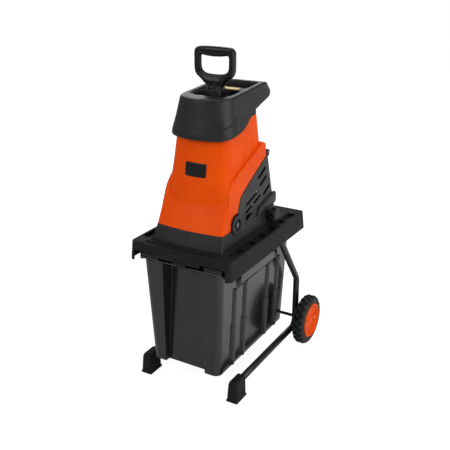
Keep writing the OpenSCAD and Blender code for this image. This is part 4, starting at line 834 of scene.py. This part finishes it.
def base_housing():
    """Base with its front lugs, the shoulder rolls and the boss under the knob."""
    front_end = plan_point(section(BASE, BASE[0][0]), "front", 1)[0]
    fronts = [i / 24 for i in range(25)] + [(SEAM_X + x) / front_end for x in SEAM_COLUMNS]
    outline = [("front", t) for t in sorted(fronts)]
    outline += stretch("corner", 6) + stretch("side", 16) + stretch("heel", 14) + stretch("back", 8)
    shapes = [skin("base", [base_ring(z, inset, outline) for z, inset in BASE_LEVELS], wrap=True)]
    for side in (-1, 1):
        shapes.append(turned("lug", [(r, side * x) for r, x in FRONT_LUG], LUG_Y, LUG_Z, 64))
        shapes.append(shoulder_roll(side))
    shapes.append(turned("boss", KNOB_BOSS, KNOB_Y, KNOB_Z, 40))
    node = "base_housing"
    mesh = joined(node, shapes)
    evenly_shaded(piece("base_housing_moulded", mesh, SATIN, BODY_OF[node], SLOT_OF[node], node))


# Stand

TUBE_X, TUBE_R, TUBE_BORE = 149, 10, 8.4
TUBE_LEAN = 35.98  # degrees between the upright stretch and the slanting one
LOW_RUN_Y, LOW_RUN_MID_Y, LOW_RUN_Z = 40, 200, 48
UPRIGHT_Y = 450
TOP_RUN_Y, TOP_RUN_Z = 46, 405
LOW_BEND_R, KNEE_R = 24, 40
KNEE_Z, TOP_BEND_Y = 205.01, 293.8
FOOT_Y = 28
FOOT = [  # height, half-width, front, back and corner radius
    (0, 17.6, 0.9, 59.1, 3), (0.9, 18.5, 0, 60, 3.6), (4.4, 18.5, 0, 60, 3.6), (6, 17.4, 1.2, 58.8, 3.6),
    (8, 16.5, 2, 58.2, 4), (30, 15.6, 3.3, 58.8, 4.6), (51, 14.7, 4.7, 59.4, 5), (56.5, 14.2, 5.6, 59.6, 5.4),
    (60.6, 12.9, 8.4, 59.4, 5.6), (63.2, 10.8, 11.8, 58.6, 5.2), (64, 8.6, 15, 57, 4.4)]
PIP = [(0, 3.4), (0.4, 3.1), (0.75, 2.2), (1, 0.6)]  # share of the height and radius
PIP_Y, PIP_Z = 8.6, 58


def tube_route():
    """The stand tube's middle line as (y, z, turn): lower run, bend, knee, top bend, upper run."""
    route = [(y, LOW_RUN_Z, -math.pi / 2) for y in (LOW_RUN_Y, LOW_RUN_MID_Y)]
    route += arc(UPRIGHT_Y - LOW_BEND_R, LOW_RUN_Z + LOW_BEND_R, LOW_BEND_R, -90, 0, 12)
    route += arc(UPRIGHT_Y - KNEE_R, KNEE_Z, KNEE_R, 0, TUBE_LEAN, 7)
    route += arc(TOP_BEND_Y, TOP_RUN_Z - KNEE_R, KNEE_R, TUBE_LEAN, 90, 10)
    return route + [(TOP_RUN_Y, TOP_RUN_Z, math.pi / 2)]


def stand_tube(side, name):
    """A bent tube: along its outside, and back along its bore."""
    route = tube_route()
    rows = []
    for r, stations in ((TUBE_R, route), (TUBE_BORE, route[::-1])):
        for y, z, turn in stations:
            rows.append([(side * TUBE_X - r * math.sin(a), y + r * math.cos(a) * math.cos(turn),
                          z + r * math.cos(a) * math.sin(turn)) for a in full_turn(32)])
    piece(name + "_bent", skin(name, rows, wrap=True), TUBE, BODY_OF[name], "tube_paint", name)


def foot(side, name):
    """A tapered moulded foot with a flange below and a pip on its sloping front edge."""
    rows = []
    for z, half, front, back, r in FOOT:
        ring = rounded_box(half, (back - front) / 2, r, 5)
        rows.append([(side * TUBE_X + x, FOOT_Y + (front + back) / 2 + y, z) for x, y in ring])
    shapes = [skin("foot", rows, ends=True)]
    rows = []
    for share, r in PIP:
        y, z = FOOT_Y + PIP_Y - 1.6 * share, PIP_Z + 1.8 * share
        rows.append([(side * TUBE_X + r * math.cos(a), y + r * math.sin(a) * 0.8, z + r * math.sin(a) * 0.7)
                     for a in full_turn(16)])
    shapes.append(skin("pip", rows, ends=True))
    evenly_shaded(piece(name + "_moulded", joined(name, shapes), MATT, BODY_OF[name], SLOT_OF[name], name))


# Wheels

AXLE_Y, AXLE_Z, WHEEL_X = 450, 80, 190
CARCASS = [  # radius and distance from the tyre's middle
    (60.3, -18.2), (61.1, -19), (64, -18.6), (66, -18.9), (69, -18), (72.2, -15.6), (74, -12), (74.6, -7),
    (74.6, 7), (74, 12), (72.2, 15.6), (69, 18), (66, 18.9), (64, 18.6), (61.1, 19), (60.3, 18.2)]
TREAD_LUG = [  # distance from the tyre's middle and radius
    (0.7, 71), (0.7, 78.8), (1.6, 79.8), (8.2, 79.8), (9.8, 79.2), (14.2, 76.6), (15.2, 75.6), (16.9, 71),
    (15, 69.5)]
TREAD_LUGS = 22  # in each row
TREAD_LUG_HALF, TREAD_LUG_TAPER, TREAD_LUG_EASE = 5.9, 0.17, 0.8


def lug_mesh():
    """One tread lug: an outline across the tread, narrower at its top."""
    bm = bmesh.new()
    foot_r = TREAD_LUG[0][1]
    loops = []
    for side in (-1, 1):
        halves = [side * (TREAD_LUG_HALF - TREAD_LUG_TAPER * (r - foot_r)) for _, r in TREAD_LUG]
        loops.append([bm.verts.new((x * MM, y * MM, r * MM)) for (x, r), y in zip(TREAD_LUG, halves)])
    bm.faces.new(loops[0])
    bm.faces.new(loops[1][::-1])
    for i in range(len(TREAD_LUG)):
        j = (i + 1) % len(TREAD_LUG)
        bm.faces.new((loops[0][j], loops[0][i], loops[1][i], loops[1][j]))
    bmesh.ops.recalc_face_normals(bm, faces=bm.faces)
    sharp = [e for e in bm.edges if e.calc_face_angle() > math.radians(50)]
    bmesh.ops.bevel(bm, geom=sharp, offset=TREAD_LUG_EASE * MM, segments=2, affect="EDGES", profile=0.6)
    return mesh_of(bm, "lug")


def lug_rows():
    """Geometry nodes: the incoming lug set round the X axis in two rows, one of them turned by a share of
    the pitch."""
    tree = bpy.data.node_groups.new("tread_rows", "GeometryNodeTree")
    for name, kind in (("Lug", "Geometry"), ("Lugs", "Int"), ("Row Turn", "Float"), ("Finish", "Material")):
        tree.interface.new_socket(name, in_out="INPUT", socket_type="NodeSocket" + kind)
    tree.interface.new_socket("Tread", in_out="OUTPUT", socket_type="NodeSocketGeometry")
    add, link = tree.nodes.new, tree.links.new
    given = add("NodeGroupInput").outputs
    both = add("GeometryNodeJoinGeometry")
    pitch = maths(tree, "DIVIDE", 2 * math.pi, given["Lugs"])
    for row in (0, 1):
        points = add("GeometryNodePoints")
        link(given["Lugs"], points.inputs["Count"])
        shift = maths(tree, "MULTIPLY", given["Row Turn"], row)
        place = maths(tree, "ADD", add("GeometryNodeInputIndex").outputs[0], shift)
        turn = maths(tree, "MULTIPLY", maths(tree, "MULTIPLY", place, pitch), 1 - 2 * row)
        euler = add("ShaderNodeCombineXYZ")
        link(turn, euler.inputs["X"])
        euler.inputs["Z"].default_value = math.pi * row
        lugs = add("GeometryNodeInstanceOnPoints")
        link(points.outputs[0], lugs.inputs["Points"])
        link(given["Lug"], lugs.inputs["Instance"])
        link(euler.outputs[0], lugs.inputs["Rotation"])
        link(lugs.outputs[0], both.inputs[0])
    real = add("GeometryNodeRealizeInstances")
    link(both.outputs[0], real.inputs[0])
    paint = add("GeometryNodeSetMaterial")
    link(real.outputs[0], paint.inputs["Geometry"])
    link(given["Finish"], paint.inputs["Material"])
    link(paint.outputs[0], add("NodeGroupOutput").inputs[0])
    return tree


def tread(tree):
    """The two rows of lugs as one plain mesh round the X axis."""
    obj = bpy.data.objects.new("tread", lug_mesh())
    bpy.context.scene.collection.objects.link(obj)
    rows = obj.modifiers.new("rows", "NODES")
    rows.node_group = tree
    values = {"Lugs": TREAD_LUGS, "Row Turn": 0.5, "Finish": TYRE}
    for item in tree.interface.items_tree:
        if item.in_out == "INPUT" and item.name in values:
            rows[item.identifier] = values[item.name]
    graph = bpy.context.evaluated_depsgraph_get()
    mesh = bpy.data.meshes.new_from_object(obj.evaluated_get(graph))
    bpy.data.objects.remove(obj)
    return mesh


def tyre(side, name, tree):
    """A tyre's carcass with its tread."""
    lugs = tread(tree)
    lugs.transform(Matrix.Translation(at(side * WHEEL_X, AXLE_Y, AXLE_Z)))
    carcass = turned("carcass", [(r, side * WHEEL_X + x) for r, x in CARCASS], AXLE_Y, AXLE_Z, 88)
    mesh = joined(name, [carcass, lugs])
    evenly_shaded(piece(name + "_lugged", mesh, TYRE, BODY_OF[name], "tyre_black", name))


# Plunger

STEM_Y = 196.9
LOOP = [  # right half of the grip: outer x and z, inner x and z, half the depth, and how far the inside thins
    (0, 962.8, 0, 935.8, 12.5, 0), (12, 962.8, 12, 936.2, 12.5, 0), (24, 962.6, 23, 937, 12.4, 0),
    (36, 962, 32, 938.2, 12, 0.1), (45, 961.2, 37.5, 939.2, 11.6, 0.3), (52, 959.4, 40.9, 939, 11.2, 0.6),
    (57.3, 955.8, 42.8, 937.2, 11, 0.9), (60.4, 950.6, 43.6, 934.2, 11, 1), (61.4, 944, 43.8, 930, 11, 1),
    (61.4, 934, 43.8, 924, 11, 1), (61.4, 923, 43.7, 917.5, 11, 1), (61.3, 911, 43.5, 910.5, 11, 1),
    (60.9, 901, 42.8, 905.3, 11, 1), (59.6, 894, 41.4, 901, 11, 1), (57.2, 888.8, 39, 897.6, 11, 1),
    (53.6, 884.6, 36, 895.2, 11, 1), (48.4, 880.4, 32, 893.2, 11, 1), (43, 876.4, 27, 891.8, 11, 1),
    (38.4, 872.4, 22, 890.9, 11, 1), (34.8, 868.6, 17, 890.4, 11, 1), (31.6, 865, 12, 890.1, 11, 1),
    (24, 862, 8, 890, 11, 1), (12, 861, 4, 890, 11, 1), (0, 861, 0, 890, 11, 1)]
GRIP_SQUARE, GRIP_THIN = 0.62, 0.42  # power of its rounded section, and the share by which its inside thins
STEM = [  # height, half-width, half-depth and corner radius
    (730, 23, 19, 8), (735, 24, 20, 9), (846, 24, 20, 9), (849, 23.4, 19.2, 9), (851, 22.6, 16, 8),
    (855, 23, 11, 6), (862, 25.6, 10.6, 5), (870, 28.6, 10.4, 5), (876, 30.2, 10.4, 5)]
DROP = [  # share of the height and radius
    (0, 10.6), (0.04, 11.4), (0.12, 11), (0.35, 8.8), (0.65, 6.2), (0.85, 4.4), (0.95, 2.8), (1, 0.8)]
DROP_Z, DROP_TALL = 847, 26
DROP_LEAN_X, DROP_LEAN_Y = 0.2, 0.4  # shares of its distance by which its tip nears the stem's middle
DROP_PLACES = [(7, -14), (18, 6), (-7, 14), (-18, -6)]  # across and back from the stem's middle


def grip_section(count, step):
    """Across and depth shares of a rounded square, thinner on its inner half by the step."""
    ring = []
    for a in full_turn(count):
        across = squared(math.cos(a), GRIP_SQUARE)
        thinner = 1 - GRIP_THIN * step * rise(0.05, -0.3, across)
        ring.append((across, squared(math.sin(a), GRIP_SQUARE) * thinner))
    return ring


def drop(x, y):
    """A drop-shaped boss that leans to the stem's middle as it rises."""
    rows = []
    for share, r in DROP:
        mid_x, mid_y = x - DROP_LEAN_X * x * share, y - DROP_LEAN_Y * y * share
        rows.append([(mid_x + r * math.cos(a), STEM_Y + mid_y + r * math.sin(a), DROP_Z + DROP_TALL * share)
                     for a in full_turn(20)])
    return skin("drop", rows, ends=True)


def plunger():
    """D-shaped grip, stem and the bosses between them."""
    loop = LOOP + [(-xo, zo, -xi, zi, *rest) for xo, zo, xi, zi, *rest in LOOP[-2:0:-1]]
    rows = []
    for xo, zo, xi, zi, deep, step in loop:
        ring = [((1 + u) / 2, deep * v) for u, v in grip_section(40, step)]
        rows.append([(mix(xi, xo, t), STEM_Y + y, mix(zi, zo, t)) for t, y in ring])
    shapes = [skin("grip", rows, wrap=True)]
    rows = [[(x, STEM_Y + y, z) for x, y in rounded_box(half, deep, r)] for z, half, deep, r in STEM]
    shapes.append(skin("stem", rows, ends=True))
    for x, y in DROP_PLACES:
        shapes.append(drop(x, y))
    piece("plunger_moulded", joined("plunger", shapes), GRIP, "pusher", "gloss_black", "plunger")


# Bare badge and blank label

BADGE_Z, BADGE_HALF_W, BADGE_HALF_H, BADGE_R = 651, 33, 19, 5
BADGE_RINGS = [(0, -0.6), (0, 0.7), (0.5, 1.2), (1.4, 1.4), (6, 1.45), (11, 1.45), (16, 1.45)]  # inset, out
LABEL_Y, LABEL_HALF_W, LABEL_HALF_D, LABEL_R = 279.5, 27, 12.5, 2.5
LABEL_RINGS = [(0, -0.3), (0, 0.2), (0.3, 0.4), (3, 0.4), (9, 0.4)]  # inset, up


def tower_front(x, z):
    """Depth of the tower's crowned front."""
    plan = section(TOWER, z)
    share = abs(x) / plan_point(plan, "front", 1)[0]
    return plan[1] + plan[3] * share * share


def badge():
    """A bare plate that follows the tower's crowned front."""
    rows = []
    for inset, out in BADGE_RINGS:
        r = max(BADGE_R - inset * 0.25, 1.2)
        ring = rounded_box(BADGE_HALF_W - inset, BADGE_HALF_H - inset, r, 6, 12)
        rows.append([(x, tower_front(x, BADGE_Z + h) - out, BADGE_Z + h) for x, h in ring])
    piece("front_badge_plate", skin("front_badge_plate", rows, ends=True), PLATE, "hood", "gloss_black")


def label():
    """A blank label on the ledge behind the feed opening."""
    rows = []
    for inset, up in LABEL_RINGS:
        ring = rounded_box(LABEL_HALF_W - inset, LABEL_HALF_D - inset, LABEL_R - inset * 0.2, 5)
        rows.append([(x, LABEL_Y + y, along(LEDGE, LABEL_Y + y) + up) for x, y in ring])
    piece("blank_label", skin("blank_label", rows, ends=True), LABEL, "hood", None)


hood_shell()
hood_knuckles()
tower_ridges()
base_housing()
feed_hopper()
stand_tube(-1, "frame_tube_left")
stand_tube(1, "frame_tube_right")
tread_rows = lug_rows()
tyre(-1, "tyre_left", tread_rows)
tyre(1, "tyre_right", tread_rows)
foot(-1, "foot_left")
foot(1, "foot_right")
plunger()
badge()
label()

# CAD nodes whose shape is right get eased edges, of a width in millimetres and a number of segments

rounded("deck", 1.2, 2, merge_flats=False, material=MATT)
rounded("bin_latch", 0.7, 2, material=MATT)
rounded("lug_bolts", 0.8, 2, material=DARK_STEEL)
for node, width, segments in [
        ("motor_cover", 0.9, 2), ("collecting_bin", 1.5, 2), ("locking_knob", 0.9, 3), ("feed_chute", 0.8, 1),
        ("switch_box", 1.4, 3), ("start_button", 0.8, 2), ("stop_button", 0.8, 2), ("reset_button", 0.8, 2),
        ("power_inlet", 0.7, 2), ("hub_cap_left", 1.2, 2), ("hub_cap_right", 1.2, 2),
        ("wheel_rim_left", 0.8, 1), ("wheel_rim_right", 0.8, 1)]:
    rounded(node, width, segments)

for node, obj in frame["nodes"].items():
    if not obj.hide_render:
        obj.data.materials.clear()
        obj.data.materials.append(DARK_STEEL if node == "hinge_pins" else SLOT_FINISH[SLOT_OF[node]])
